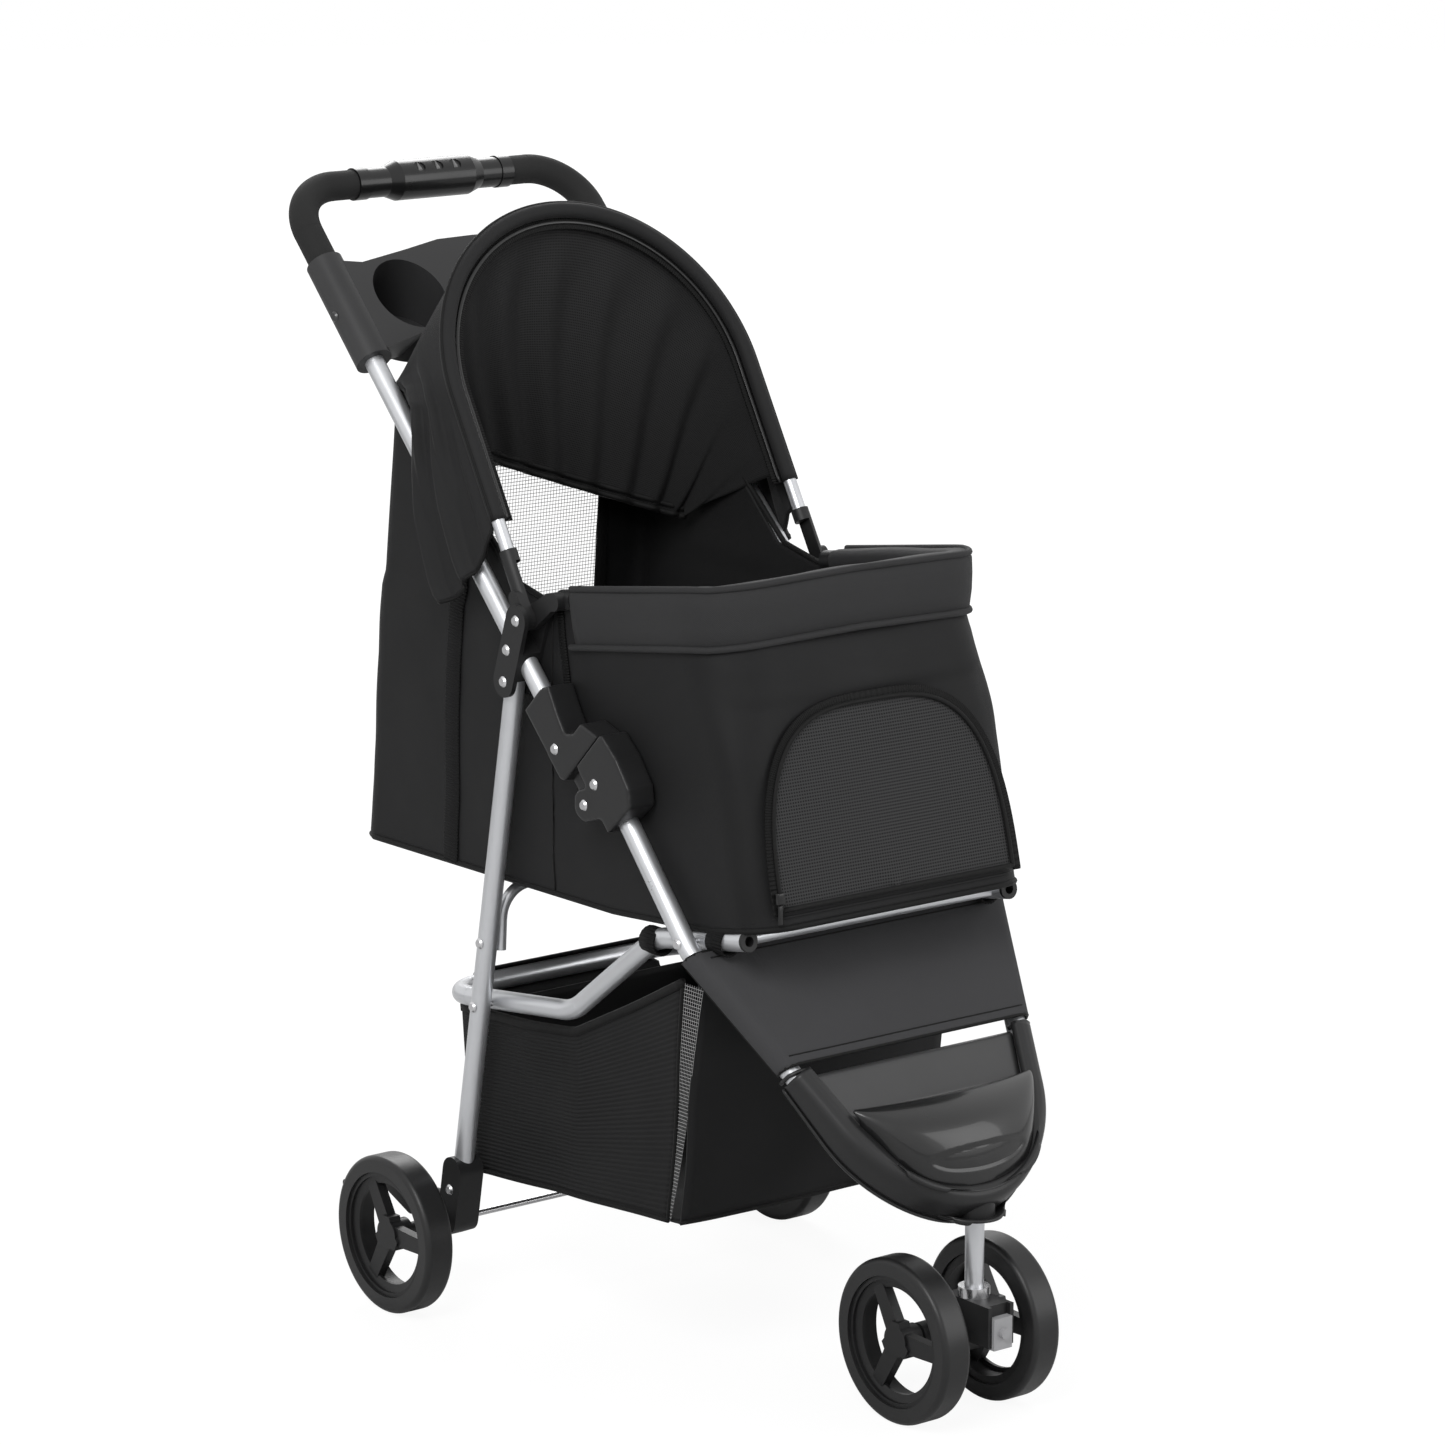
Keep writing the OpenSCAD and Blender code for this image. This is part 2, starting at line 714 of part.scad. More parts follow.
module fork_screw() {
    color("lightgray") placed() translate([-fork_half, fork_screw_yz[0], fork_screw_yz[1]])
        rotate([0, -90, 0]) difference() {
            union() {
                translate([0, 0, -7]) cylinder(h = 7, d = 5);
                cylinder(h = 2.5, d = 9);
            }
            translate([0, 0, 1.2]) cylinder(h = 3, d = 4, $fn = 6);
        }
}

module front_axle() {
    color("lightgray") placed() pin_x(axle_front, -front_track / 2 - 6, front_track / 2 + 6, axle_d);
}

lock_w = 20;
lock_h = 36;
lock_low = 72;
lock_travel = 8;

// Slider on the front of the fork that locks its swivel
module swivel_lock() {
    color("#9a9a9e") placed() translate([0, stem_y - fork_front, lock_low]) {
        translate([-lock_w / 2, -lock_plate, 0]) cube([lock_w, lock_plate + 4, lock_h - lock_travel]);
        translate([0, -lock_plate, lock_h * 0.4]) rotate([90, 0, 0]) cylinder(h = lock_knob, d = 9);
    }
}

// ------------------------------------------------------------------ wheels

rim_r = wheel_r - 15;
hub_w = tyre_w - 5;

// Tyre round the X axis, centred on its middle plane
module tyre(w) {
    t = 5;
    rotate([0, 90, 0]) rotate_extrude($fn = 96) difference() {
        union() {
            translate([rim_r, -w / 2]) square([wheel_r - rim_r - t, w]);
            translate([rim_r, -w / 2 + t]) square([wheel_r - rim_r, w - 2 * t]);
            for (s = [-1, 1]) translate([wheel_r - t, s * (w / 2 - t)]) circle(r = t, $fn = 32);
        }
        translate([rim_r - 1, -1.5]) square([3, 3]);
    }
}

// Three-spoked hub with a stepped rim and a raised triangular centre. Its
// outer face is at +X, and its bore is blind there.
module hub(w) {
    difference() {
        union() {
            rotate([0, 90, 0]) rotate_extrude($fn = 96) polygon([
                [rim_r - 7, -w / 2], [rim_r - fit, -w / 2], [rim_r - fit, w / 2],
                [rim_r - 4, w / 2], [rim_r - 4, w / 2 - 3], [rim_r - 11, w / 2 - 5], [rim_r - 11, w / 2 - 8],
                [rim_r - 7, w / 2 - 8]
            ]);
            for (a = [90, 210, 330]) rotate([a, 0, 0]) side_slab(w / 2 - 13, 9)
                polygon([[-9, 0], [9, 0], [7, rim_r - 6], [-7, rim_r - 6]]);
            side_slab(-w / 2, w - 4) circle(r = 12);
            side_slab(w / 2 - 14, 12) {
                for (a = [0, 120, 240]) rotate(a) polygon([[-13, -8], [13, -8], [5, 17], [-5, 17]]);
                circle(r = 14);
            }
        }
        translate([-w / 2 - 1, 0, 0]) rotate([0, 90, 0]) cylinder(h = w - 3, d = axle_d + 2 * running);
    }
}

module at_front_wheel(side) {
    placed() on_side(side) translate([front_track / 2, axle_front[0], axle_front[1]]) children();
}

module at_rear_wheel(side) {
    placed() on_side(side) translate([rear_track / 2, axle_yz[0], axle_yz[1]]) children();
}

module front_tyre(side) {
    color("#0e0e0e") at_front_wheel(side) tyre(tyre_w);
}

module front_hub(side) {
    color("#141414") at_front_wheel(side) hub(hub_w);
}

module rear_tyre(side) {
    color("#0e0e0e") at_rear_wheel(side) tyre(tyre_w);
}

module rear_hub(side) {
    color("#141414") at_rear_wheel(side) hub(hub_w);
}

// --------------------------------------------------------------- rear legs

module rear_leg(side) {
    color("silver") placed() on_side(side) difference() {
        rod(at_side(side_x, foot), at_side(side_x, leg_pivot + leg_dir * tube_r), tube_d);
        rod(at_side(side_x, foot - leg_dir), at_side(side_x, leg_pivot + leg_dir * (tube_r + 1)),
            tube_d - 2 * tube_wall);
        for (p = [brace_foot, cradle_rear, bracket_rivet])
            pin_x(p, leg_in_x - 1, leg_out_x + 1, rivet_d + 2 * fit);
        pin_x(leg_pivot, leg_in_x - 1, leg_out_x + 1, rivet_d + 2 * running);
    }
}

brace_x = leg_in_x - gap / 4 - brace_d / 2;
brace_top = cabin_floor_h - gap - brace_d / 2 - 1.5;

// Arched brace under the cabin with its feet on the inner sides of the legs
module arch_brace() {
    p = both_sides([
        at_side(brace_x, brace_foot - [0, 9]), at_side(brace_x - 3, [brace_foot[0], brace_top])
    ]);
    color("#8e8e92") placed() difference() {
        bent_bar(p, [0, 30, 30, 0], brace_d);
        pin_x(brace_foot, -leg_in_x, leg_in_x, rivet_d + 2 * fit);
    }
}

bracket_in = side_x - 20;
bracket_end = leg_out_x + 4;
bracket_rivet = foot + leg_dir * 24;

module bracket_outline(r) {
    link_outline(foot + leg_dir * 42, r, foot - leg_dir * 6, r);
    link_outline(foot - leg_dir * 6, r, axle_yz, r);
}

// Block that holds the foot of a rear leg and the rear axle
module axle_bracket(side) {
    color("#141414") placed() on_side(side) difference() {
        union() {
            side_slab(leg_in_x - 4, bracket_end - leg_in_x + 4) bracket_outline(13.5);
            pin_x(axle_yz, bracket_in, bracket_end + 3, 22);
            side_slab(leg_in_x - 4, bracket_end - leg_in_x + 4) link_outline(axle_yz, 11, brake_pivot, 9);
        }
        rod(at_side(side_x, foot), at_side(side_x, foot + leg_dir * 90), tube_d + 2 * fit);
        pin_x(axle_yz, bracket_in - 1, bracket_end + 4, axle_d + 2 * fit);
        pin_x(bracket_rivet, leg_in_x - 5, bracket_end + 1, rivet_d + 2 * fit);
        pin_x(brake_pivot, bracket_end - 9, bracket_end + 1, rivet_d + 2 * running);
    }
}

hub_in = rear_track / 2 - hub_w / 2;

module rear_axle() {
    color("lightgray") placed() pin_x(axle_yz, -hub_in - hub_w + 6, hub_in + hub_w - 6, axle_d);
}

module axle_spacers() {
    color("#1a1a1a") placed() for (side = [-1, 1]) on_side(side) difference() {
        pin_x(axle_yz, bracket_end + 3 + gap / 4, hub_in - gap, 12);
        pin_x(axle_yz, bracket_end, hub_in, axle_d + 2 * fit);
    }
}

// Rivets of the rear legs: brackets, brace feet and the cradle's rear pivots
module leg_rivets() {
    color("lightgray") placed() for (side = [-1, 1]) on_side(side) {
        rivet_x(bracket_rivet, bracket_end, leg_in_x - 4);
        rivet_x(brace_foot, leg_out_x, brace_x);
        rivet_x(cradle_rear, leg_out_x, cradle_x);
    }
}

brake_pivot = axle_yz + [29, 12];
brake_arm = [wheel_r * 0.65, 15.5];
pad_d = 8;

// Foot lever beside a wheel, with a bar that presses the wheel's tread
module brake_lever(side) {
    x0 = bracket_end + gap;
    color("#1a1a1a") placed() on_side(side) {
        side_slab(x0, 7) link_outline(brake_pivot, 9, brake_pivot + brake_arm, 6);
        pin_x(brake_pivot, bracket_end - 8, x0 + 1, rivet_d);
        pin_x(brake_pivot + brake_arm, x0 + 1, rear_track / 2 + 2, pad_d);
    }
}

// ------------------------------------------------------------------ cradle

cradle_fall = 7.2;
cradle_low = [0, 0];
rear_loop = cradle_rear + [91.5, -91.5 * tan(cradle_fall)] + [0, 1.5];
dip = cradle_rear + [-111.5, 16];
knee = [cradle_front[0] + 65, cradle_front[1] - 12];
plug_yz = cradle_front + [-58, 10];
cradle_path = both_sides([
    at_side(cradle_x, plug_yz), at_side(cradle_x, knee), at_side(cradle_x, dip), at_side(cradle_x, rear_loop)
]);
cradle_bends = both_bends([0, 60, 60, 50]);

module cradle_tube() {
    color("silver") placed() difference() {
        bent_tube(cradle_path, cradle_bends, tube_d, tube_wall);
        pin_x(cradle_rear, -cradle_out_x - 1, -cradle_x, rivet_d + 2 * running);
        pin_x(cradle_rear, cradle_x, cradle_out_x + 1, rivet_d + 2 * running);
        cradle_bar(bar_d + 2 * fit);
    }
}

bar_d = 12;
cradle_bar_yz = cradle_front + [-42, 7.2];

module cradle_bar(d) {
    pin_x(cradle_bar_yz, -cradle_x, cradle_x, d);
}

module cradle_crossbar() {
    color("silver") placed() cradle_bar(bar_d);
}

// Ring plugs in the cradle's open front ends
module tube_plugs() {
    u = unit(plug_yz - knee);
    color("#151515") placed() for (side = [-1, 1]) on_side(side) difference() {
        union() {
            rod(at_side(cradle_x, plug_yz - 8 * u), at_side(cradle_x, plug_yz + 0.5 * u), tube_d - 2 * tube_wall - 2 * fit);
            rod(at_side(cradle_x, plug_yz + fit * u), at_side(cradle_x, plug_yz + 3 * u), tube_d);
        }
        rod(at_side(cradle_x, plug_yz - 6 * u), at_side(cradle_x, plug_yz + 4 * u), 9);
    }
}

// ------------------------------------------------------------------ basket

basket_rear = [5, rear_loop[1] + 30 * tan(cradle_fall) - tube_r - gap - 1];
basket_dip = dip + [-2, -tube_r - gap - 1];
basket_pts = [
    basket_rear, [-13, basket_h], [-315, basket_h + 24], [-342, cradle_front[1] - tube_r - 26], basket_dip
];

// Same outline drawn in by the wall g and opened at the top
module basket_outline(g) {
    polygon([
        basket_pts[0] + [-g, g * 30], basket_pts[1] + [-g, g], basket_pts[2] + [g * 1.2, g],
        basket_pts[3] + [g * 1.2, g * 30], basket_pts[4] + [0, g * 30]
    ]);
}

module basket() {
    x = basket_w / 2;
    color("#1e1e1e") placed() difference() {
        side_slab(-x, 2 * x) basket_outline(0);
        side_slab(-x + basket_wall, 2 * (x - basket_wall)) basket_outline(basket_wall);
    }
}

strap_w = 20;
strap_t = 2;

// Webbing loops from the cradle's side tubes up to the cabin's floor
module cabin_straps() {
    color("#1a1a1a") placed() for (side = [-1, 1], y = [knee[0] + 14, cradle_front[0] - 24])
        on_side(side) strap(y);
}

module strap(y) {
    rear = y > knee[0];
    a = rear ? dip : knee;
    b = rear ? knee : plug_yz;
    p = a + (b - a) * (y - a[0]) / (b[0] - a[0]);
    u = unit(b - a);
    r = tube_r + gap;
    difference() {
        union() {
            rod(at_side(cradle_x, p - u * strap_w / 2), at_side(cradle_x, p + u * strap_w / 2), 2 * (r + strap_t));
            translate([cradle_x - r - strap_t, p[0] - strap_w / 2, p[1]])
                cube([strap_t, strap_w, cabin_floor_h + 3 - p[1] + (y < -213 ? (-213 - y) * 0.1 : 0)]);
        }
        rod(at_side(cradle_x, p - u * 60), at_side(cradle_x, p + u * 60), 2 * r);
    }
}

// ------------------------------------------------------------------- cabin

cabin_back = 145;
cabin_front = -372;
front_foot = [cabin_front - 64, cabin_floor_h + 29];
rim_start = [-178, cabin_front_h - 30];
cabin_pts = [
    [cabin_back, cabin_floor_h], [122, 590], [97, 793], [95, 820], [68, 822], [-96, 676], [-150, 664],
    rim_start, [cabin_front, cabin_front_h], front_foot, [-360, cabin_floor_h + 19], [-213, cabin_floor_h + 5]
];

module cabin_outline() {
    polygon(cabin_pts);
}

// Inside of the cabin in the side view, open at the top
module cabin_inside() {
    g = cabin_wall;
    polygon([
        [cabin_back - g - 0.5, cabin_floor_h + g], [122 - g - 0.3, 590], [97 - g - 0.3, 793], [95 - g, 860],
        [cabin_front + g, 860], [cabin_front + g + 0.5, cabin_front_h], front_foot + [g + 1, g - 1],
        [-360, cabin_floor_h + 19 + g], [-213, cabin_floor_h + 5 + g]
    ]);
}

// Plan of the cabin, x across and y along, drawn in by g
module cabin_plan(g) {
    rounded_rect(-cabin_x + g, cabin_x - g, front_foot[0] - 1 + g, cabin_back + 1 - g, 42 - g);
}

hem_h = 53;
hem_x = cabin_x - 1 + hoop_d / 2 + 1;
hoop_x = cabin_x - 1;
hoop_drop = 9.5;
rim_dir = unit([cabin_front, cabin_front_h] - rim_start);
rim_up = [rim_dir[1], -rim_dir[0]];
hoop_back = rim_start - hoop_drop * rim_up;
hoop_front = [cabin_front, cabin_front_h] - hoop_drop * rim_up + rim_dir * 1.5;

function hoop_path(more) = both_sides([
    at_side(hoop_x, hoop_back - rim_dir * more), at_side(hoop_x, hoop_front)
]);
hoop_bends = [0, 48, 48, 0];

// Hem round the cabin's rim that holds the hoop
module rim_hem() {
    t = hoop_d / 2 + 1.5;
    side_out = hoop_x + t;
    intersection() {
        side_slab(-side_out, 2 * side_out) polygon([
            rim_start, rim_start - hem_h * rim_up,
            [cabin_front, cabin_front_h] - hem_h * rim_up + 10 * rim_dir,
            [cabin_front, cabin_front_h] + 10 * rim_dir
        ]);
        translate([0, 0, 500]) linear_extrude(400) difference() {
            rounded_rect(-side_out, side_out, hoop_front[0] - t, 0, 56);
            rounded_rect(-hoop_x + t, hoop_x - t, hoop_front[0] + t, 20, 40);
        }
    }
}

module cabin() {
    color("#1b1b1b") placed() difference() {
        union() {
            intersection() {
                side_slab(-cabin_x, 2 * cabin_x) cabin_outline();
                translate([0, 0, 380]) linear_extrude(500) cabin_plan(0);
            }
            rim_hem();
        }
        intersection() {
            side_slab(-cabin_x + cabin_wall, 2 * (cabin_x - cabin_wall)) cabin_inside();
            translate([0, 0, 380]) linear_extrude(500) cabin_plan(cabin_wall);
        }
        bent_bar(hoop_path(40), hoop_bends, hoop_d + 2 * gap);
        for (side = [-1, 1]) on_side(side)
            rod(at_side(hoop_x, hoop_back - rim_dir * 30), at_side(hoop_x, hoop_back + rim_dir * gap),
                hoop_d + 2 * socket_wall + 2 * gap);
    }
}

pad_t = 12;

// Removable padded base on the cabin's floor
module base_pad() {
    g = cabin_wall + 2;
    z = cabin_floor_h + cabin_wall + gap;
    color("#161616") placed() intersection() {
        side_slab(-cabin_x, 2 * cabin_x) polygon([
            [cabin_back - g - 4, z], [cabin_back - g - 4, z + pad_t], [-213, z + 5 + pad_t],
            [-360, z + 19 + pad_t], [-360, z + 19], [-213, z + 5]
        ]);
        translate([0, 0, 380]) linear_extrude(200) cabin_plan(g);
    }
}

module rim_hoop() {
    color("silver") placed() bent_tube(hoop_path(16), hoop_bends, hoop_d, tube_wall);
}

eye_r = 10;
eye_t = 7;
eye_in = leg_in_x + gap;
socket_wall = 2;

// Sockets that carry the hoop's ends, with an eye each on the hood's pivot
module rim_sockets() {
    a = hoop_back - rim_dir * 17;
    color("#171717") placed() for (side = [-1, 1]) on_side(side) difference() {
        union() {
            rod(at_side(hoop_x, a - rim_dir * 3), at_side(hoop_x, hoop_back), hoop_d + 2 * socket_wall);
            side_slab(eye_in, eye_t) {
                link_outline(hood_pivot, eye_r, a - rim_dir * 2, 8);
            }
            side_slab(hoop_x, eye_in + eye_t - hoop_x) link_outline(a - rim_dir * 2, 8, a + rim_dir * 4, 8);
        }
        rod(at_side(hoop_x, a + rim_dir), at_side(hoop_x, hoop_back + rim_dir * 2), hoop_d + 2 * fit);
        pin_x(hood_pivot, eye_in - 1, eye_in + eye_t + 1, rivet_d + 2 * running);
    }
}

// -------------------------------------------------------------------- hood

bow_dir = [cos(bow_slope), sin(bow_slope)];
bow_x = side_x - 2;
hood_eye_in = eye_in + eye_t + gap;
bow_socket_wall = 2;
// Distance from the pivot within which the rim's sockets swing past the hood's
rim_sweep = norm(hoop_back - hood_pivot) + 1;
bow_foot = rim_sweep + gap;
socket_len = bow_foot + 11;

// Frame of the bow: Y runs up along it from the pivot, Z stands off its front
module bow_frame() {
    translate([0, hood_pivot[0], hood_pivot[1]]) rotate([bow_slope, 0, 0]) children();
}

module canopy_bow() {
    color("silver") placed() bow_frame() difference() {
        bent_tube(both_sides([[bow_x, bow_foot, 0], [bow_x, bow_run, 0]]),
            [0, bow_x - 1, bow_x - 1, 0], bow_d, tube_wall);
        for (side = [-1, 1]) translate([side * (bow_x + 20), bow_foot + 6, 0]) rotate([0, -90 * side, 0])
            cylinder(h = 40, d = 3 + 2 * fit);
    }
}

// Sockets that carry the bow's ends and turn on the hood's pivot
module canopy_sockets() {
    color("#171717") placed() for (side = [-1, 1]) on_side(side) difference() {
        union() {
            bow_frame() translate([bow_x, plate_r + gap, 0]) rotate([-90, 0, 0])
                cylinder(h = socket_len - plate_r - gap, d = bow_d + 2 * bow_socket_wall);
            side_slab(hood_eye_in, leg_out_x - gap - hood_eye_in)
                link_outline(hood_pivot, eye_r, hood_pivot + bow_dir * 20, 7);
        }
        bow_frame() translate([bow_x, bow_foot, 0]) rotate([-90, 0, 0]) cylinder(h = 60, d = bow_d + 2 * fit);
        // The rim's sockets swing past on the inside
        bow_frame() translate([0, -bow_foot, -20]) cube([hood_eye_in, 2 * bow_foot - gap, 40]);
        pin_x(hood_pivot, hood_eye_in - 1, leg_out_x + 1, rivet_d + 2 * running);
    }
}

cover_t = 3;
cover_back = [92, 824];

module cover_slab(g, front, low) {
    hull() {
        bow_frame() translate([0, 0, -bow_d / 2 - gap - 4]) linear_extrude(4 + front, $fn = 48) {
            translate([0, bow_run - bow_x]) intersection() {
                circle(r = bow_x + bow_d / 2 - g);
                translate([-200, 0]) square([400, 300]);
            }
            translate([-bow_x - bow_d / 2 + g, bow_run - bow_x - 90 - low])
                square([2 * (bow_x + bow_d / 2 - g), 92 + low]);
        }
        side_slab(-128 + g, 2 * (128 - g))
            polygon([cover_back + [-2 - g, -low], cover_back + [2 - g, -low],
                cover_back + [2 - g, 10 - g], cover_back + [-2 - g, 10 - g]]);
    }
}

// Fabric of the hood from its bow back to the cabin's rear wall
module canopy_cover() {
    color("#1b1b1b") placed() difference() {
        cover_slab(0, 0, 0);
        cover_slab(cover_t, 20, 60);
    }
}

// ------------------------------------------------------------- assignments

handle_tube();
handle_foam(1);  // handle_foam_left
handle_foam(-1);  // handle_foam_right
handle_grip();
grip_collars();
cup_tray();
tray_rivets();
joint_plate(1);  // joint_plate_left
joint_plate(-1);  // joint_plate_right
frame_rivets();
fold_joint_upper(1);  // fold_joint_upper_left
fold_joint_upper(-1);  // fold_joint_upper_right
cabin();
base_pad();
rim_hoop();
rim_sockets();
canopy_bow();
canopy_sockets();
canopy_cover();
front_leg_tube();
fold_joint_lower(1);  // fold_joint_lower_left
fold_joint_lower(-1);  // fold_joint_lower_right
fold_pins();
cradle_pins();
banner();
nose_tray();
nose_block();
caster_stem();
rear_leg(1);  // rear_leg_left
rear_leg(-1);  // rear_leg_right
arch_brace();
axle_bracket(1);  // axle_bracket_left
axle_bracket(-1);  // axle_bracket_right
rear_axle();
axle_spacers();
leg_rivets();
cradle_tube();
cradle_crossbar();
tube_plugs();
basket();
cabin_straps();
caster_collar();
caster_fork();
fork_screw();
front_axle();
swivel_lock();
front_tyre(1);  // front_tyre_left
front_tyre(-1);  // front_tyre_right
front_hub(1);  // front_hub_left
front_hub(-1);  // front_hub_right
rear_tyre(1);  // rear_tyre_left
rear_tyre(-1);  // rear_tyre_right
rear_hub(1);  // rear_hub_left
rear_hub(-1);  // rear_hub_right
brake_lever(1);  // brake_lever_left
brake_lever(-1);  // brake_lever_right
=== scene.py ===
"""Dresses the pet stroller's frame with cloth, netting, moulded plastic and metal finishes."""

import json
import logging
import math
from dataclasses import dataclass, field
from typing import Callable, Dict, List, Optional, Sequence, Tuple

import bmesh
import bpy
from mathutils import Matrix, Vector, noise

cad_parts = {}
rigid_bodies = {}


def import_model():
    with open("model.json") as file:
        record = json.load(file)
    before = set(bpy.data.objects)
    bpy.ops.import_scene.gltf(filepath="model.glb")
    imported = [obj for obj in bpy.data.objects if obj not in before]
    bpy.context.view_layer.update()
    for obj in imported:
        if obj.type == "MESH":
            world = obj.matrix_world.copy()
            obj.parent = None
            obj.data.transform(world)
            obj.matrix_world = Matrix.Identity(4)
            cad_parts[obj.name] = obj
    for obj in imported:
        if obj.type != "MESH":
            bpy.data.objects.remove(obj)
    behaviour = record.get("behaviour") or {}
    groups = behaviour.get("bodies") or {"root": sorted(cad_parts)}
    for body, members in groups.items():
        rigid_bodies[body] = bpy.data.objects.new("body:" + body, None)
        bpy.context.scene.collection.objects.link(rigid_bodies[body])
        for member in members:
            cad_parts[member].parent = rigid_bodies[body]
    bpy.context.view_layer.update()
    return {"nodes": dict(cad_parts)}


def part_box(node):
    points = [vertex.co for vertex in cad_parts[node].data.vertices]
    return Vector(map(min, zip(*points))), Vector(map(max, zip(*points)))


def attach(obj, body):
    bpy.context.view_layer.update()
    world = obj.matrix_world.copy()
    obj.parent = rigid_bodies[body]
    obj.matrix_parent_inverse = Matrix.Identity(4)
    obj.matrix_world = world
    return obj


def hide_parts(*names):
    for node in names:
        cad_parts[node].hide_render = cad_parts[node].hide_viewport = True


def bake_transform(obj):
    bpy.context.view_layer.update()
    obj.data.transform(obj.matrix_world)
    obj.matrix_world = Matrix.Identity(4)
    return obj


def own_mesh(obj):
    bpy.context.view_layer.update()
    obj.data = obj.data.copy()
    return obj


LOG = logging.getLogger("stroller")

Point = Tuple[float, float, float]
Pair = Tuple[float, float]

# Distance from the rear axle's plane to the middle of the stroller, in millimetres
SHIFT = 161.037
# Side-view points of the frame, [ahead-negative y, z] in millimetres from the rear axle
HOOD_PIVOT: Pair = (-133.0, 650.9)
LEG_BEND: Pair = (-364.8, 397.5)
NOSE_SLOPE = 47.0
BOW_SLOPE = 60.0
STEM_Y = -541.96
# The hood bow's plane leans back, so its cloth is swept with its flat side to this direction
BOW_FACE = Vector((0, -0.87, 0.5))
# Signs and names of the stroller's two sides
SIDES: Tuple[Tuple[float, str], ...] = ((1.0, "left"), (-1.0, "right"))
# Half width of the lower front legs at their bend, and how much it narrows per millimetre down
LEG_HALF = 165.0
LEG_TAPER = 84.0 / 259.8


def at(x: float, y: float, z: float) -> Vector:
    """Gives a point in metres from millimetres measured at the rear axle's floor line."""
    return Vector((x / 1000.0, (y + SHIFT) / 1000.0, z / 1000.0))


def in_nose(x: float, v: float, w: float) -> Vector:
    """Gives a point in the plane of the lower front legs.

    Args:
        x: distance to the side, in millimetres.
        v: distance down along the legs from their bend.
        w: distance off the plane, towards the front.

    Returns:
        The point in metres.
    """
    a = math.radians(NOSE_SLOPE)
    y = LEG_BEND[0] - v * math.cos(a) - w * math.sin(a)
    z = LEG_BEND[1] - v * math.sin(a) + w * math.cos(a)
    return at(x, y, z)


def leg_half(v: float) -> float:
    """Gives the lower front legs' half width at a distance down from their bend."""
    return LEG_HALF - LEG_TAPER * v


def in_bow(x: float, s: float, w: float) -> Vector:
    """Gives a point in the plane of the hood's bow.

    Args:
        x: distance to the side, in millimetres.
        s: distance up along the bow from its pivot.
        w: distance off the plane, towards the front.

    Returns:
        The point in metres.
    """
    a = math.radians(BOW_SLOPE)
    y = HOOD_PIVOT[0] + s * math.cos(a) - w * math.sin(a)
    z = HOOD_PIVOT[1] + s * math.sin(a) + w * math.cos(a)
    return at(x, y, z)


def lerp(a: float, b: float, t: float) -> float:
    """Blends from a to b by t."""
    return a + (b - a) * t


def smooth(t: float) -> float:
    """Gives a soft step from 0 to 1."""
    t = max(0.0, min(1.0, t))
    return t * t * (3.0 - 2.0 * t)


def path_value(pts: Sequence[Pair], t: float) -> float:
    """Reads a polyline of (place, value) pairs at t.

    Args:
        pts: the pairs, in order of place.
        t: the place.

    Returns:
        The value.
    """
    if t <= pts[0][0]:
        return pts[0][1]
    for (a, va), (b, vb) in zip(pts, pts[1:]):
        if t <= b:
            return lerp(va, vb, (t - a) / max(1e-9, b - a))
    return pts[-1][1]


# ---------------------------------------------------------------- materials


def math_out(tree: bpy.types.NodeTree, operation: str, *values: object) -> bpy.types.NodeSocket:
    """Adds a Math node.

    Args:
        tree: the node tree that it joins.
        operation: what it works out.
        values: its inputs in order, each a socket or a number.

    Returns:
        The node's output.
    """
    node = tree.nodes.new("ShaderNodeMath")
    node.operation = operation
    for sock, value in zip(node.inputs, values):
        if isinstance(value, float):
            sock.default_value = value
        else:
            tree.links.new(value, sock)
    return node.outputs[0]


def range_out(tree: bpy.types.NodeTree, value: bpy.types.NodeSocket, low: float, high: float,
              start: float = 0.0, end: float = 1.0) -> bpy.types.NodeSocket:
    """Adds a Map Range node.

    Args:
        tree: the node tree that it joins.
        value: the value that it reads.
        low: what it gives at start.
        high: what it gives at end.
        start: the value at which the range starts.
        end: the value at which the range ends.

    Returns:
        The node's output.
    """
    node = tree.nodes.new("ShaderNodeMapRange")
    for label, number in (("From Min", start), ("From Max", end), ("To Min", low), ("To Max", high)):
        node.inputs[label].default_value = number
    tree.links.new(value, node.inputs["Value"])
    return node.outputs["Result"]


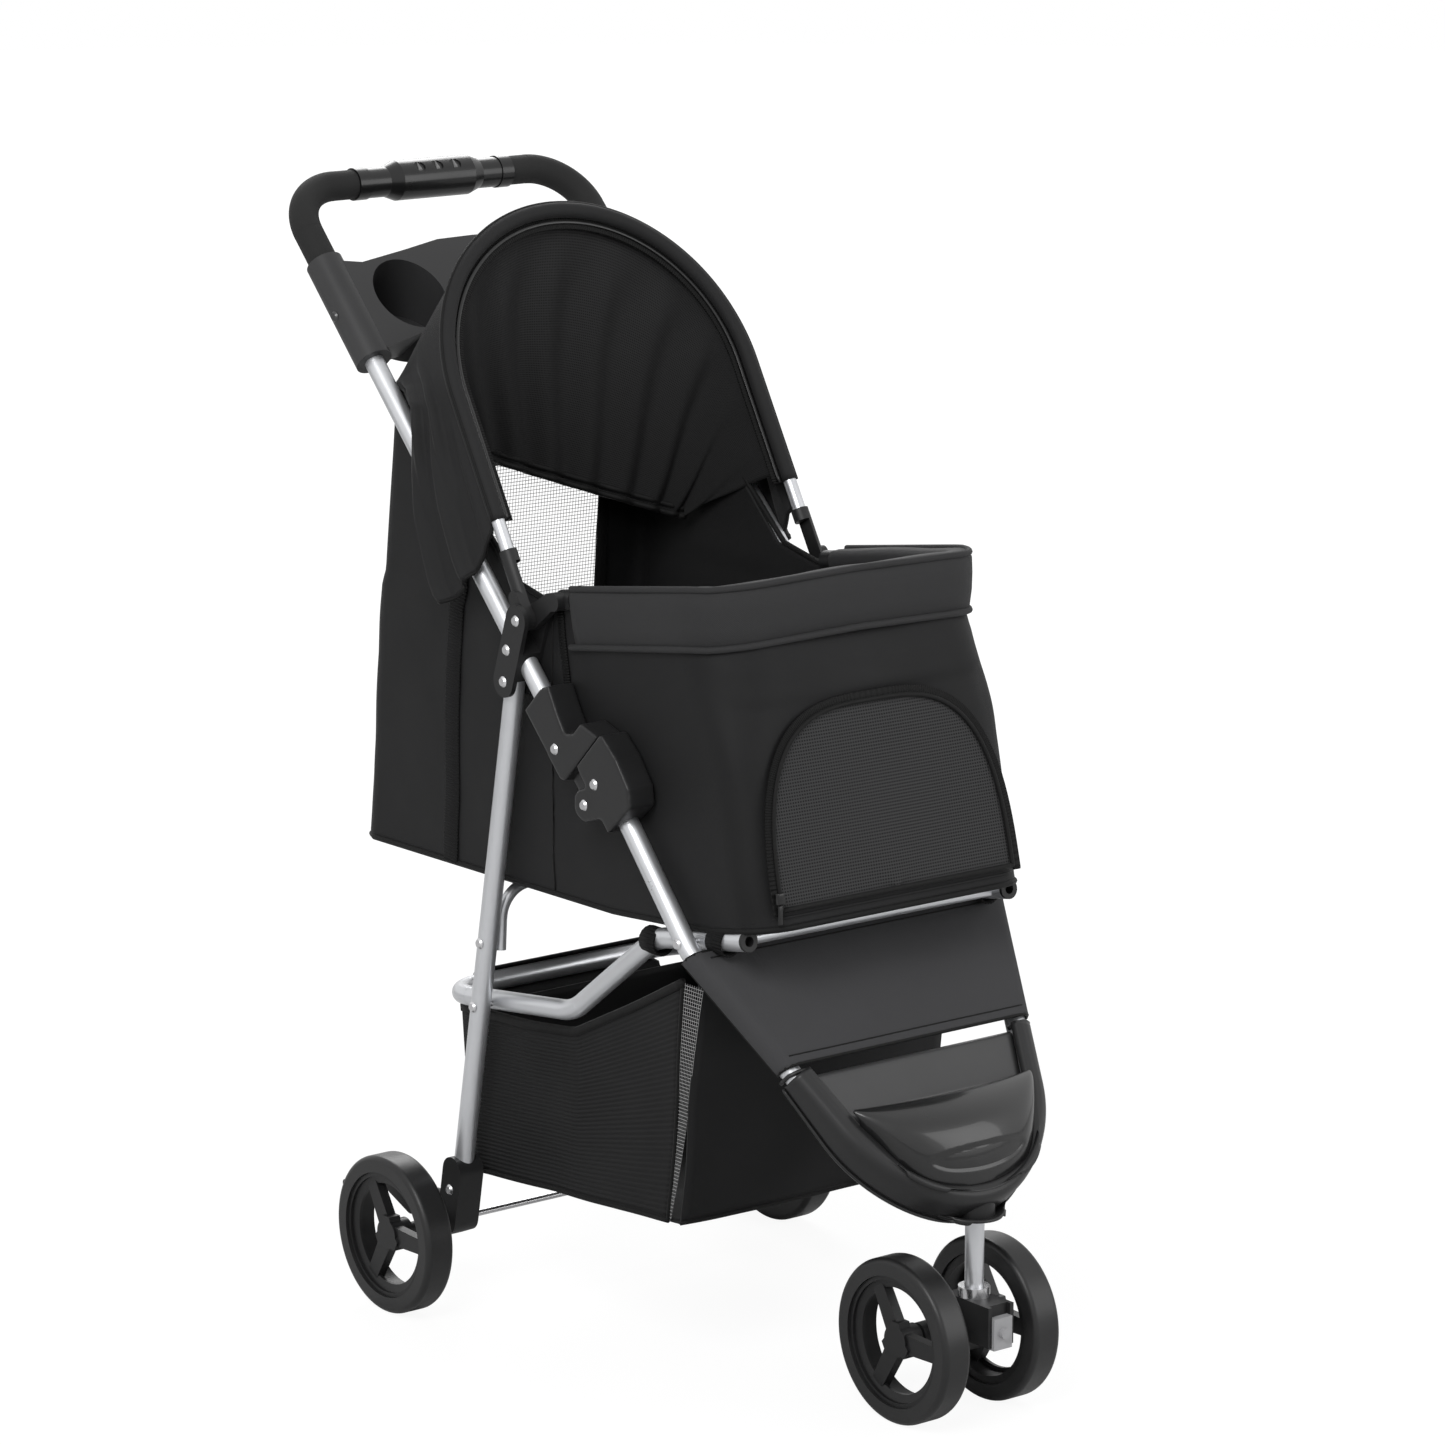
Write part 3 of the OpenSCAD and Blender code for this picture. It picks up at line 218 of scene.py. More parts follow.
class NodeKit:
    """Builds the shader node groups that the finishes share, each once."""

    def __init__(self) -> None:
        """Starts with no groups built."""
        self.groups: Dict[str, bpy.types.NodeTree] = {}

    def _new(
        self, name: str, ins: Sequence[Tuple[str, str, object]], outs: Sequence[Tuple[str, str]]
    ) -> bpy.types.NodeTree:
        """Makes an empty group with named sockets.

        Args:
            name: the group's name.
            ins: input names, socket types and default values.
            outs: output names and socket types.

        Returns:
            The new node tree.
        """
        tree = bpy.data.node_groups.new(name, "ShaderNodeTree")
        for label, kind, value in ins:
            sock = tree.interface.new_socket(name=label, in_out="INPUT", socket_type=kind)
            sock.default_value = value
        for label, kind in outs:
            tree.interface.new_socket(name=label, in_out="OUTPUT", socket_type=kind)
        self.groups[name] = tree
        return tree

    def weave(self) -> bpy.types.NodeTree:
        """Gives the group that draws over-and-under threads as a height and a thread mask.

        Returns:
            The group.
        """
        if "weave" in self.groups:
            return self.groups["weave"]
        tree = self._new(
            "weave",
            [
                ("Vector", "NodeSocketVector", (0.0, 0.0, 0.0)), ("Threads", "NodeSocketFloat", 1400.0),
                ("Rib", "NodeSocketFloat", 0.0)
            ],
            [("Height", "NodeSocketFloat"), ("Fade", "NodeSocketFloat")],
        )
        nodes, links = tree.nodes, tree.links
        gin, gout = nodes.new("NodeGroupInput"), nodes.new("NodeGroupOutput")
        sep = nodes.new("ShaderNodeSeparateXYZ")
        links.new(gin.outputs["Vector"], sep.inputs[0])
        threads = gin.outputs["Threads"]
        waves = [math_out(
            tree, "SINE", math_out(tree, "MULTIPLY", sep.outputs[axis], threads)
        ) for axis in (0, 1)]
        mix = nodes.new("ShaderNodeMix")
        links.new(gin.outputs["Rib"], mix.inputs[0])
        links.new(math_out(tree, "MULTIPLY", *waves), mix.inputs[2])
        links.new(waves[1], mix.inputs[3])
        links.new(mix.outputs[0], gout.inputs["Height"])
        cloudy = nodes.new("ShaderNodeTexNoise")
        cloudy.inputs["Scale"].default_value = 9.0
        cloudy.inputs["Detail"].default_value = 4.0
        links.new(gin.outputs["Vector"], cloudy.inputs["Vector"])
        links.new(cloudy.outputs["Fac"], gout.inputs["Fade"])
        return tree

    def net(self) -> bpy.types.NodeTree:
        """Gives the group that draws a knitted net's holes as a mask and a height.

        Returns:
            The group.
        """
        if "net" in self.groups:
            return self.groups["net"]
        tree = self._new(
            "net",
            [
                ("Vector", "NodeSocketVector", (0.0, 0.0, 0.0)), ("Pitch", "NodeSocketFloat", 0.0024),
                ("Thread", "NodeSocketFloat", 0.42)
            ],
            [("Solid", "NodeSocketFloat"), ("Height", "NodeSocketFloat")],
        )
        nodes, links = tree.nodes, tree.links
        gin, gout = nodes.new("NodeGroupInput"), nodes.new("NodeGroupOutput")
        sep = nodes.new("ShaderNodeSeparateXYZ")
        links.new(gin.outputs["Vector"], sep.inputs[0])
        pitch = gin.outputs["Pitch"]
        arms = [math_out(
            tree, "PINGPONG", math_out(tree, "DIVIDE", sep.outputs[axis], pitch), 0.5
        ) for axis in (0, 1)]
        low = math_out(tree, "MINIMUM", *arms)
        half = math_out(tree, "MULTIPLY", gin.outputs["Thread"], 0.5)
        links.new(math_out(tree, "LESS_THAN", low, half), gout.inputs["Solid"])
        links.new(math_out(tree, "SUBTRACT", 0.5, low), gout.inputs["Height"])
        return tree

    def grain(self) -> bpy.types.NodeTree:
        """Gives the group that draws moulded grain and soft wear as a height and a mask.

        Returns:
            The group.
        """
        if "grain" in self.groups:
            return self.groups["grain"]
        tree = self._new(
            "grain", [("Scale", "NodeSocketFloat", 900.0), ("Wear Scale", "NodeSocketFloat", 14.0)],
            [("Height", "NodeSocketFloat"), ("Wear", "NodeSocketFloat")],
        )
        nodes, links = tree.nodes, tree.links
        gin, gout = nodes.new("NodeGroupInput"), nodes.new("NodeGroupOutput")
        coord = nodes.new("ShaderNodeTexCoord")
        fine = nodes.new("ShaderNodeTexNoise")
        fine.inputs["Detail"].default_value = 3.0
        links.new(coord.outputs["Object"], fine.inputs["Vector"])
        links.new(gin.outputs["Scale"], fine.inputs["Scale"])
        links.new(fine.outputs["Fac"], gout.inputs["Height"])
        broad = nodes.new("ShaderNodeTexNoise")
        broad.inputs["Detail"].default_value = 5.0
        broad.inputs["Roughness"].default_value = 0.65
        links.new(coord.outputs["Object"], broad.inputs["Vector"])
        links.new(gin.outputs["Wear Scale"], broad.inputs["Scale"])
        links.new(broad.outputs["Fac"], gout.inputs["Wear"])
        return tree


KIT = NodeKit()


def base_material(name: str) -> Tuple[bpy.types.Material, bpy.types.Node]:
    """Makes a material with one Principled shader.

    Args:
        name: the material's name.

    Returns:
        The material and its shader node.
    """
    mat = bpy.data.materials.new(name)
    mat.use_nodes = True
    shader = mat.node_tree.nodes["Principled BSDF"]
    return mat, shader


def group_node(mat: bpy.types.Material, tree: bpy.types.NodeTree) -> bpy.types.Node:
    """Places a shared node group in a material.

    Args:
        mat: the material.
        tree: the group.

    Returns:
        The new node.
    """
    node = mat.node_tree.nodes.new("ShaderNodeGroup")
    node.node_tree = tree
    return node


def shade_range(
    mat: bpy.types.Material, mask: bpy.types.NodeSocket, dark: Sequence[float], light: Sequence[float],
    sock: bpy.types.NodeSocket
) -> None:
    """Drives a colour socket between two colours by a mask.

    Args:
        mat: the material.
        mask: the mask, from 0 to 1.
        dark: colour where the mask is 0.
        light: colour where it is 1.
        sock: the socket that is driven.
    """
    mix = mat.node_tree.nodes.new("ShaderNodeMix")
    mix.data_type = "RGBA"
    mix.inputs[6].default_value = (*dark, 1.0)
    mix.inputs[7].default_value = (*light, 1.0)
    mat.node_tree.links.new(mask, mix.inputs[0])
    mat.node_tree.links.new(mix.outputs[2], sock)


def value_range(
    mat: bpy.types.Material, mask: bpy.types.NodeSocket, low: float, high: float, sock: bpy.types.NodeSocket
) -> None:
    """Drives a value socket between two values by a mask."""
    mat.node_tree.links.new(range_out(mat.node_tree, mask, low, high, 0.3, 0.7), sock)


def add_bump(
    mat: bpy.types.Material, shader: bpy.types.Node, height: bpy.types.NodeSocket, strength: float,
    distance: float
) -> bpy.types.Node:
    """Feeds a height to a shader's normal through a Bump node.

    Args:
        mat: the material.
        shader: the shader node.
        height: the height.
        strength: strength of the bump.
        distance: depth of the bump, in metres.

    Returns:
        The new node.
    """
    bump = mat.node_tree.nodes.new("ShaderNodeBump")
    bump.inputs["Strength"].default_value = strength
    bump.inputs["Distance"].default_value = distance
    mat.node_tree.links.new(height, bump.inputs["Height"])
    mat.node_tree.links.new(bump.outputs["Normal"], shader.inputs["Normal"])
    return bump


@dataclass(frozen=True)
class ClothFinish:
    """Woven cloth, ribbed webbing or twill that follows the piece's own UV map.

    Attributes:
        name: the material's name.
        dark: colour in the folds.
        light: colour on the crowns.
        threads: thread frequency, in radians per metre.
        rib: 0 for a plain weave and 1 for a rib.
        bump: strength of the weave's bump.
        rough: roughness.
        sheen: weight of the sheen.
    """

    name: str
    dark: Tuple[float, float, float]
    light: Tuple[float, float, float]
    threads: float = 9000.0
    rib: float = 0.0
    bump: float = 0.25
    rough: float = 0.72
    sheen: float = 0.12

    def build(self) -> bpy.types.Material:
        """Builds the material.

        Returns:
            The material.
        """
        mat, shader = base_material(self.name)
        nodes, links = mat.node_tree.nodes, mat.node_tree.links
        uv = nodes.new("ShaderNodeUVMap")
        uv.uv_map = "cloth"
        weave = group_node(mat, KIT.weave())
        weave.inputs["Threads"].default_value = self.threads
        weave.inputs["Rib"].default_value = self.rib
        links.new(uv.outputs["UV"], weave.inputs["Vector"])
        shade_range(mat, weave.outputs["Fade"], self.dark, self.light, shader.inputs["Base Color"])
        value_range(
            mat, weave.outputs["Fade"], self.rough - 0.08, self.rough + 0.08, shader.inputs["Roughness"]
        )
        add_bump(mat, shader, weave.outputs["Height"], self.bump, 0.0004)
        shader.inputs["Sheen Weight"].default_value = self.sheen
        shader.inputs["Sheen Roughness"].default_value = 0.4
        shader.inputs["Specular IOR Level"].default_value = 0.14
        return mat


@dataclass(frozen=True)
class NetFinish:
    """Knitted netting whose holes are cut by alpha, or filled with painted shade where the net is opaque.

    Attributes:
        name: the material's name.
        colour: colour of the threads.
        pitch: distance between threads, in metres.
        thread: share of the pitch that a thread covers.
        backing: opacity of the painted shade in the holes, which stands in for the dark interior seen through the net;
            0 leaves the holes see-through.
        ground: colour of that painted shade.
    """

    name: str
    colour: Tuple[float, float, float]
    pitch: float = 0.0024
    thread: float = 0.5
    backing: float = 0.0
    ground: Tuple[float, float, float] = (0.004, 0.004, 0.004)

    def build(self) -> bpy.types.Material:
        """Builds the material.

        Returns:
            The material.
        """
        mat, shader = base_material(self.name)
        nodes, links = mat.node_tree.nodes, mat.node_tree.links
        uv = nodes.new("ShaderNodeUVMap")
        uv.uv_map = "cloth"
        net = group_node(mat, KIT.net())
        net.inputs["Pitch"].default_value = self.pitch
        net.inputs["Thread"].default_value = self.thread
        links.new(uv.outputs["UV"], net.inputs["Vector"])
        # Painted shade: the holes take the fill colour, a flat stand-in for the dark interior seen through the net.
        shade_range(mat, net.outputs["Solid"], self.ground, self.colour, shader.inputs["Base Color"])
        shader.inputs["Roughness"].default_value = 0.7
        shader.inputs["Specular IOR Level"].default_value = 0.14
        add_bump(mat, shader, net.outputs["Height"], 0.5, 0.0006)
        if self.backing < 1.0:
            links.new(
                range_out(mat.node_tree, net.outputs["Solid"], self.backing, 1.0), shader.inputs["Alpha"]
            )
        return mat


@dataclass(frozen=True)
class MouldedFinish:
    """Moulded plastic or foam with a fine grain and slight handling wear.

    Attributes:
        name: the material's name.
        dark: base colour.
        light: colour where it is worn.
        rough: roughness.
        grain: bump strength of the grain.
        scale: frequency of the grain.
        coat: weight of a clear gloss.
    """

    name: str
    dark: Tuple[float, float, float]
    light: Tuple[float, float, float]
    rough: float = 0.45
    grain: float = 0.08
    scale: float = 900.0
    coat: float = 0.0

    def build(self) -> bpy.types.Material:
        """Builds the material.

        Returns:
            The material.
        """
        mat, shader = base_material(self.name)
        grain = group_node(mat, KIT.grain())
        grain.inputs["Scale"].default_value = self.scale
        shade_range(mat, grain.outputs["Wear"], self.dark, self.light, shader.inputs["Base Color"])
        value_range(
            mat, grain.outputs["Wear"], self.rough - 0.05, self.rough + 0.07, shader.inputs["Roughness"]
        )
        add_bump(mat, shader, grain.outputs["Height"], self.grain, 0.0005)
        shader.inputs["Specular IOR Level"].default_value = 0.32
        shader.inputs["Coat Weight"].default_value = self.coat
        shader.inputs["Coat Roughness"].default_value = 0.08
        return mat


@dataclass(frozen=True)
class MetalFinish:
    """Painted or plated tube and hardware.

    Attributes:
        name: the material's name.
        colour: base colour.
        light: colour where it is brighter.
        metallic: how metallic it is.
        rough: roughness.
    """

    name: str
    colour: Tuple[float, float, float]
    light: Tuple[float, float, float]
    metallic: float = 0.85
    rough: float = 0.32

    def build(self) -> bpy.types.Material:
        """Builds the material.

        Returns:
            The material.
        """
        mat, shader = base_material(self.name)
        grain = group_node(mat, KIT.grain())
        grain.inputs["Scale"].default_value = 260.0
        shade_range(mat, grain.outputs["Wear"], self.colour, self.light, shader.inputs["Base Color"])
        value_range(
            mat, grain.outputs["Wear"], self.rough - 0.06, self.rough + 0.08, shader.inputs["Roughness"]
        )
        add_bump(mat, shader, grain.outputs["Height"], 0.03, 0.0003)
        shader.inputs["Metallic"].default_value = self.metallic
        return mat


@dataclass
class Finishes:
    """All the finishes of the stroller, built once and looked up by name."""

    made: Dict[str, bpy.types.Material] = field(default_factory=dict)

    def build(self) -> None:
        """Builds every finish."""
        specs = [
            ClothFinish(
                "cabin cloth", (0.009, 0.009, 0.0094), (0.017, 0.017, 0.0175), 7200.0, 0.0, 0.18, 0.56, 0.04
            ),
            ClothFinish(
                "hood cloth", (0.015, 0.015, 0.0155), (0.028, 0.028, 0.0285), 6000.0, 0.0, 0.22, 0.66, 0.05
            ),
            ClothFinish(
                "banner canvas", (0.050, 0.050, 0.052), (0.070, 0.070, 0.073), 4200.0, 0.0, 0.35, 0.78, 0.03
            ),
            ClothFinish(
                "basket rib", (0.006, 0.006, 0.0062), (0.026, 0.026, 0.0265), 1500.0, 1.0, 0.9, 0.7, 0.02
            ),
            ClothFinish(
                "rim cloth", (0.028, 0.028, 0.029), (0.044, 0.044, 0.045), 5200.0, 0.0, 0.3, 0.68, 0.03
            ),
            ClothFinish(
                "webbing", (0.004, 0.004, 0.004), (0.011, 0.011, 0.0115), 2100.0, 1.0, 0.9, 0.75, 0.02
            ),
            ClothFinish("piping", (0.005, 0.005, 0.005), (0.011, 0.011, 0.011), 5200.0, 0.0, 0.3, 0.55, 0.03),
            ClothFinish(
                "zip tape", (0.003, 0.003, 0.003), (0.008, 0.008, 0.008), 2600.0, 1.0, 0.8, 0.6, 0.01
            ),
            ClothFinish("stitch thread", (0.10, 0.10, 0.10), (0.16, 0.16, 0.16), 5200.0, 0.0, 0.2, 0.7, 0.02),
            # The window and curtain nets are opaque, their holes filled with near-black painted shade for the dark
            # interior behind them.
            NetFinish("window net", (0.046, 0.046, 0.047), 0.0027, 0.5, 1.0, (0.003, 0.003, 0.003)),
            NetFinish("curtain net", (0.024, 0.024, 0.0245), 0.0021, 0.55, 1.0, (0.003, 0.003, 0.003)),
            NetFinish("clear net", (0.42, 0.42, 0.42), 0.0033, 0.16, 0.0),
            MouldedFinish("foam", (0.012, 0.012, 0.012), (0.020, 0.020, 0.020), 0.78, 0.55, 1500.0),
            MouldedFinish(
                "grip gloss", (0.006, 0.006, 0.0062), (0.010, 0.010, 0.0103), 0.30, 0.05, 700.0, 0.2
            ),
            MouldedFinish(
                "matte plastic", (0.010, 0.010, 0.0104), (0.019, 0.019, 0.0195), 0.46, 0.10, 1200.0
            ),
            MouldedFinish("tray plastic", (0.030, 0.030, 0.031), (0.044, 0.044, 0.045), 0.40, 0.10, 1100.0),
            MouldedFinish(
                "nose gloss", (0.008, 0.008, 0.0083), (0.012, 0.012, 0.0123), 0.30, 0.03, 500.0, 0.45
            ),
            MouldedFinish(
                "nose satin", (0.013, 0.013, 0.0135), (0.020, 0.020, 0.0206), 0.40, 0.06, 900.0, 0.05
            ),
            # The nose's back panel is black gloss plastic: its grey colour is a painted reflection of white light at a
            # grazing angle.
            MouldedFinish(
                "panel painted reflection", (0.050, 0.050, 0.051), (0.066, 0.066, 0.067), 0.36, 0.05, 900.0, 0.1
            ),
            MouldedFinish("hub plastic", (0.008, 0.008, 0.0083), (0.015, 0.015, 0.0155), 0.40, 0.08, 900.0),
            MouldedFinish("tyre", (0.016, 0.016, 0.0164), (0.025, 0.025, 0.0254), 0.34, 0.18, 1300.0),
            MouldedFinish("grey plastic", (0.33, 0.33, 0.34), (0.42, 0.42, 0.43), 0.4, 0.06, 800.0),
            MouldedFinish("thumb pad", (0.16, 0.16, 0.16), (0.26, 0.26, 0.26), 0.35, 0.04, 800.0),
            MetalFinish("silver tube", (0.58, 0.59, 0.61), (0.68, 0.69, 0.71), 0.72, 0.33),
            MetalFinish("rivet", (0.55, 0.55, 0.56), (0.68, 0.68, 0.69), 0.95, 0.26),
            MetalFinish("dark screw", (0.06, 0.06, 0.062), (0.10, 0.10, 0.10), 0.8, 0.35),
        ]
        for spec in specs:
            self.made[spec.name] = spec.build()

    def get(self, name: str) -> bpy.types.Material:
        """Looks a finish up."""
        return self.made[name]


FINISH = Finishes()


# ------------------------------------------------------------------ pieces


def new_object(name: str, bm: bmesh.types.BMesh, finish: str, smooth_shade: bool = True) -> bpy.types.Object:
    """Turns a bmesh into a finished object at the origin.

    Args:
        name: the piece's name.
        bm: the mesh, which is freed.
        finish: name of the finish it takes.
        smooth_shade: whether faces are shaded smooth.

    Returns:
        The new object.
    """
    mesh = bpy.data.meshes.new(name)
    for face in bm.faces:
        face.smooth = smooth_shade
    bm.to_mesh(mesh)
    bm.free()
    mesh.materials.append(FINISH.get(finish))
    obj = bpy.data.objects.new(name, mesh)
    bpy.context.scene.collection.objects.link(obj)
    return obj


def settle(piece: bpy.types.Object, body: str) -> bpy.types.Object:
    """Makes a piece ride on a body.

    Args:
        piece: the piece.
        body: the body that it rides on.

    Returns:
        The same piece.
    """
    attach(piece, body)
    LOG.info("%s rides on %s", piece.name, body)
    return piece


def sheet_mesh(nu: int, nv: int, shape: Callable[[float, float], Vector], size: Pair) -> bmesh.types.BMesh:
    """Shapes a grid into a curved sheet with a UV map in metres.

    Args:
        nu: cells across.
        nv: cells along.
        shape: gives the place of the point (u, v), each from 0 to 1.
        size: the sheet's width and length in metres, for its UV map.

    Returns:
        The sheet as a bmesh.
    """
    bm = bmesh.new()
    bmesh.ops.create_grid(bm, x_segments=nu, y_segments=nv, size=0.5)
    layer = bm.loops.layers.uv.new("cloth")
    for face in bm.faces:
        for loop in face.loops:
            co = loop.vert.co
            loop[layer].uv = ((co.x + 0.5) * size[0], (co.y + 0.5) * size[1])
    for vert in bm.verts:
        vert.co = shape(vert.co.x + 0.5, vert.co.y + 0.5)
    return bm


def flat_uv(bm: bmesh.types.BMesh, second: int = 2) -> None:
    """Lays a mesh's UV map flat, in metres.

    Args:
        bm: the mesh.
        second: axis that the map's second direction follows.
    """
    layer = bm.loops.layers.uv.get("cloth") or bm.loops.layers.uv.new("cloth")
    for face in bm.faces:
        for loop in face.loops:
            loop[layer].uv = (loop.vert.co.x, loop.vert.co[second])


def solidify(obj: bpy.types.Object, thick: float, offset: float = 0.0) -> None:
    """Gives a sheet its thickness with a Solidify modifier.

    Args:
        obj: the sheet.
        thick: its thickness, in metres.
        offset: which side it grows to, from -1 to 1.
    """
    mod = obj.modifiers.new("wall", "SOLIDIFY")
    mod.thickness = thick
    mod.offset = offset
    mod.use_even_offset = False


def sweep_mesh(
    path: Sequence[Vector], outline: Sequence[Pair], closed: bool, up: Optional[Vector] = None
) -> bmesh.types.BMesh:
    """Sweeps a closed outline along a path.

    Args:
        path: the points that it follows, in metres.
        outline: the section's points as (side, up) pairs in metres.
        closed: whether the path is a loop.
        up: fixed direction that the section's second axis leans to.

    Returns:
        The swept skin as a bmesh with a UV map along the path.
    """
    n, m = len(path), len(outline)
    ref = up or Vector((0.0, 0.0, 1.0))
    frames: List[Tuple[Vector, Vector, Vector]] = []
    run = [0.0]
    for i, point in enumerate(path):
        before = path[i - 1] if (i > 0 or closed) else path[i]
        after = path[(i + 1) % n] if (i < n - 1 or closed) else path[i]
        tangent = (after - before).normalized()
        side = tangent.cross(ref)
        if side.length < 1e-4:
            side = tangent.cross(Vector((1.0, 0.0, 0.0)))
        side.normalize()
        frames.append((point, side, side.cross(tangent).normalized()))
        if i:
            run.append(run[-1] + (point - path[i - 1]).length)
    girth = sum((Vector((*outline[(j + 1) % m], 0)) - Vector((*outline[j], 0))).length for j in range(m))
    spans = n if closed else n - 1

    def place(u: float, v: float) -> Vector:
        """Places one grid point on the swept skin.

        Args:
            u: place across, from 0 to 1.
            v: place along, from 0 to 1.

        Returns:
            The point in metres.
        """
        i = int(round(v * spans)) % n
        j = int(round(u * m)) % m
        point, side, top = frames[i]
        return point + side * outline[j][0] + top * outline[j][1]

    bm = sheet_mesh(m, spans, place, (girth, run[-1]))
    bmesh.ops.remove_doubles(bm, verts=bm.verts, dist=1e-6)
    if not closed:
        ends = [e for e in bm.edges if e.is_boundary]
        bmesh.ops.holes_fill(bm, edges=ends, sides=0)
    bmesh.ops.recalc_face_normals(bm, faces=bm.faces)
    return bm


def round_section(radius: float, count: int = 10) -> List[Pair]:
    """Gives a circle as a section outline."""
    return [(
        radius * math.cos(2 * math.pi * i / count), radius * math.sin(2 * math.pi * i / count)
    ) for i in range(count)]


def flat_section(width: float, thick: float) -> List[Pair]:
    """Gives a flat strap's section outline."""
    w, t = width / 2, thick / 2
    return [
        (-w, -t * 0.5), (-w * 0.9, -t), (w * 0.9, -t), (w, -t * 0.5), (w, t * 0.5), (w * 0.9, t),
        (-w * 0.9, t), (-w, t * 0.5)
    ]


def even_path(points: Sequence[Vector], step: float) -> List[Vector]:
    """Spaces a polyline's points evenly.

    Args:
        points: the polyline.
        step: distance between the points, in metres.

    Returns:
        The points in metres.
    """
    run = [0.0]
    for a, b in zip(points, points[1:]):
        run.append(run[-1] + (b - a).length)
    count = max(2, int(round(run[-1] / step)))
    out, k = [], 0
    for i in range(count + 1):
        s = run[-1] * i / count
        while k < len(run) - 2 and run[k + 1] < s:
            k += 1
        t = (s - run[k]) / max(1e-9, run[k + 1] - run[k])
        out.append(points[k].lerp(points[k + 1], min(1.0, max(0.0, t))))
    return out


def line_on(shape: Callable[[float, float], Vector], count: int, v: float) -> List[Vector]:
    """Gives count + 1 points across a shape at one place along it."""
    return [shape(i / count, v) for i in range(count + 1)]


def hang_cloth(piece: bpy.types.Object, thick: float, body: str) -> None:
    """Args:
        piece: the sheet.
        thick: its thickness in metres, or 0 for netting, which has none.
        body: the body that it rides on.
    """
    if thick:
        solidify(piece, thick)
    settle(piece, body)


def cord_piece(
    name: str, points: Sequence[Vector], radius: float, finish: str, closed: bool = False
) -> bpy.types.Object:
    """Makes a round cord, bead or piping along points."""
    return new_object(name, sweep_mesh(points, round_section(radius, 8), closed), finish)


def strap_piece(
    name: str, path: Sequence[Vector], outline: Sequence[Pair], finish: str, closed: bool = False,
    up: Optional[Vector] = None
) -> bpy.types.Object:
    """Sweeps an outline along a path as a finished piece, such as a strap, tape or binding."""
    return new_object(name, sweep_mesh(path, outline, closed, up), finish)


def stitch_row(
    name: str, path: Sequence[Vector], lift: Callable[[Vector], Vector], length: float, pitch: float,
    thick: float, finish: str
) -> bpy.types.Object:
    """Lays a row of short stitches along a path.

    Args:
        name: the piece's name.
        path: the seam's points.
        lift: gives the direction off the cloth at a point.
        length: a stitch's length in metres.
        pitch: distance between stitches.
        thick: a stitch's thickness.
        finish: name of the finish.

    Returns:
        The row as one object.
    """
    bm = bmesh.new()
    pts = even_path(path, pitch)
    for a, b in zip(pts, pts[1:]):
        mid = (a + b) / 2
        along = (b - a).normalized()
        out = lift(mid).normalized()
        made = bmesh.ops.create_icosphere(bm, subdivisions=1, radius=0.5)["verts"]
        side = along.cross(out)
        for vert in made:
            co = vert.co.copy()
            vert.co = mid + out * (co.z * thick + thick * 0.3) + along * (co.x * length) + side * (co.y * thick)
    flat_uv(bm)
    return new_object(name, bm, finish)


def ripple(point: Vector, scale: float, depth: float, seed: float) -> float:
    """Gives a soft wrinkle height at a point, in metres."""
    return depth * (noise.noise(Vector((point.x * scale + seed, point.y * scale, point.z * scale))))


# ------------------------------------------------------------------- cabin

# Front wall: (height, place), both in millimetres
FRONT_WALL: List[Pair] = [
    (400.0, -444.0), (432.0, -437.0), (640.0, -387.0), (656.0, -382.0), (668.0, -374.0), (760.0, -370.0),
]
# Rear wall: (height, place)
REAR_WALL: List[Pair] = [
    (395.0, 146.0), (590.0, 122.0), (793.0, 97.0), (840.0, 94.0),
]
# Cabin's lower edge: (place, height)
LOW_EDGE: List[Pair] = [
    (-440.0, 440.0), (-415.0, 433.0), (-340.0, 418.0), (-213.0, 407.0), (145.0, 403.0),
]
# Cabin's upper edge: (place, height)
TOP_EDGE: List[Pair] = [
    (-372.0, 706.0), (-178.0, 676.0), (-150.0, 664.0), (-96.0, 676.0), (68.0, 822.0), (97.0, 824.0),
]
# Rim band's section: (outward, upward) in metres from the hoop's line
BAND_SECTION: List[Pair] = [
    (-0.009, -0.050), (-0.0045, -0.0535), (0.0, -0.0535), (0.0035, -0.050), (0.0055, -0.035),
    (0.006, -0.02), (0.0055, -0.006), (0.002, -0.0005), (-0.006, 0.0), (-0.015, -0.001), (-0.0195, -0.006),
    (-0.0195, -0.016), (-0.012, -0.022), (-0.0105, -0.035),
]


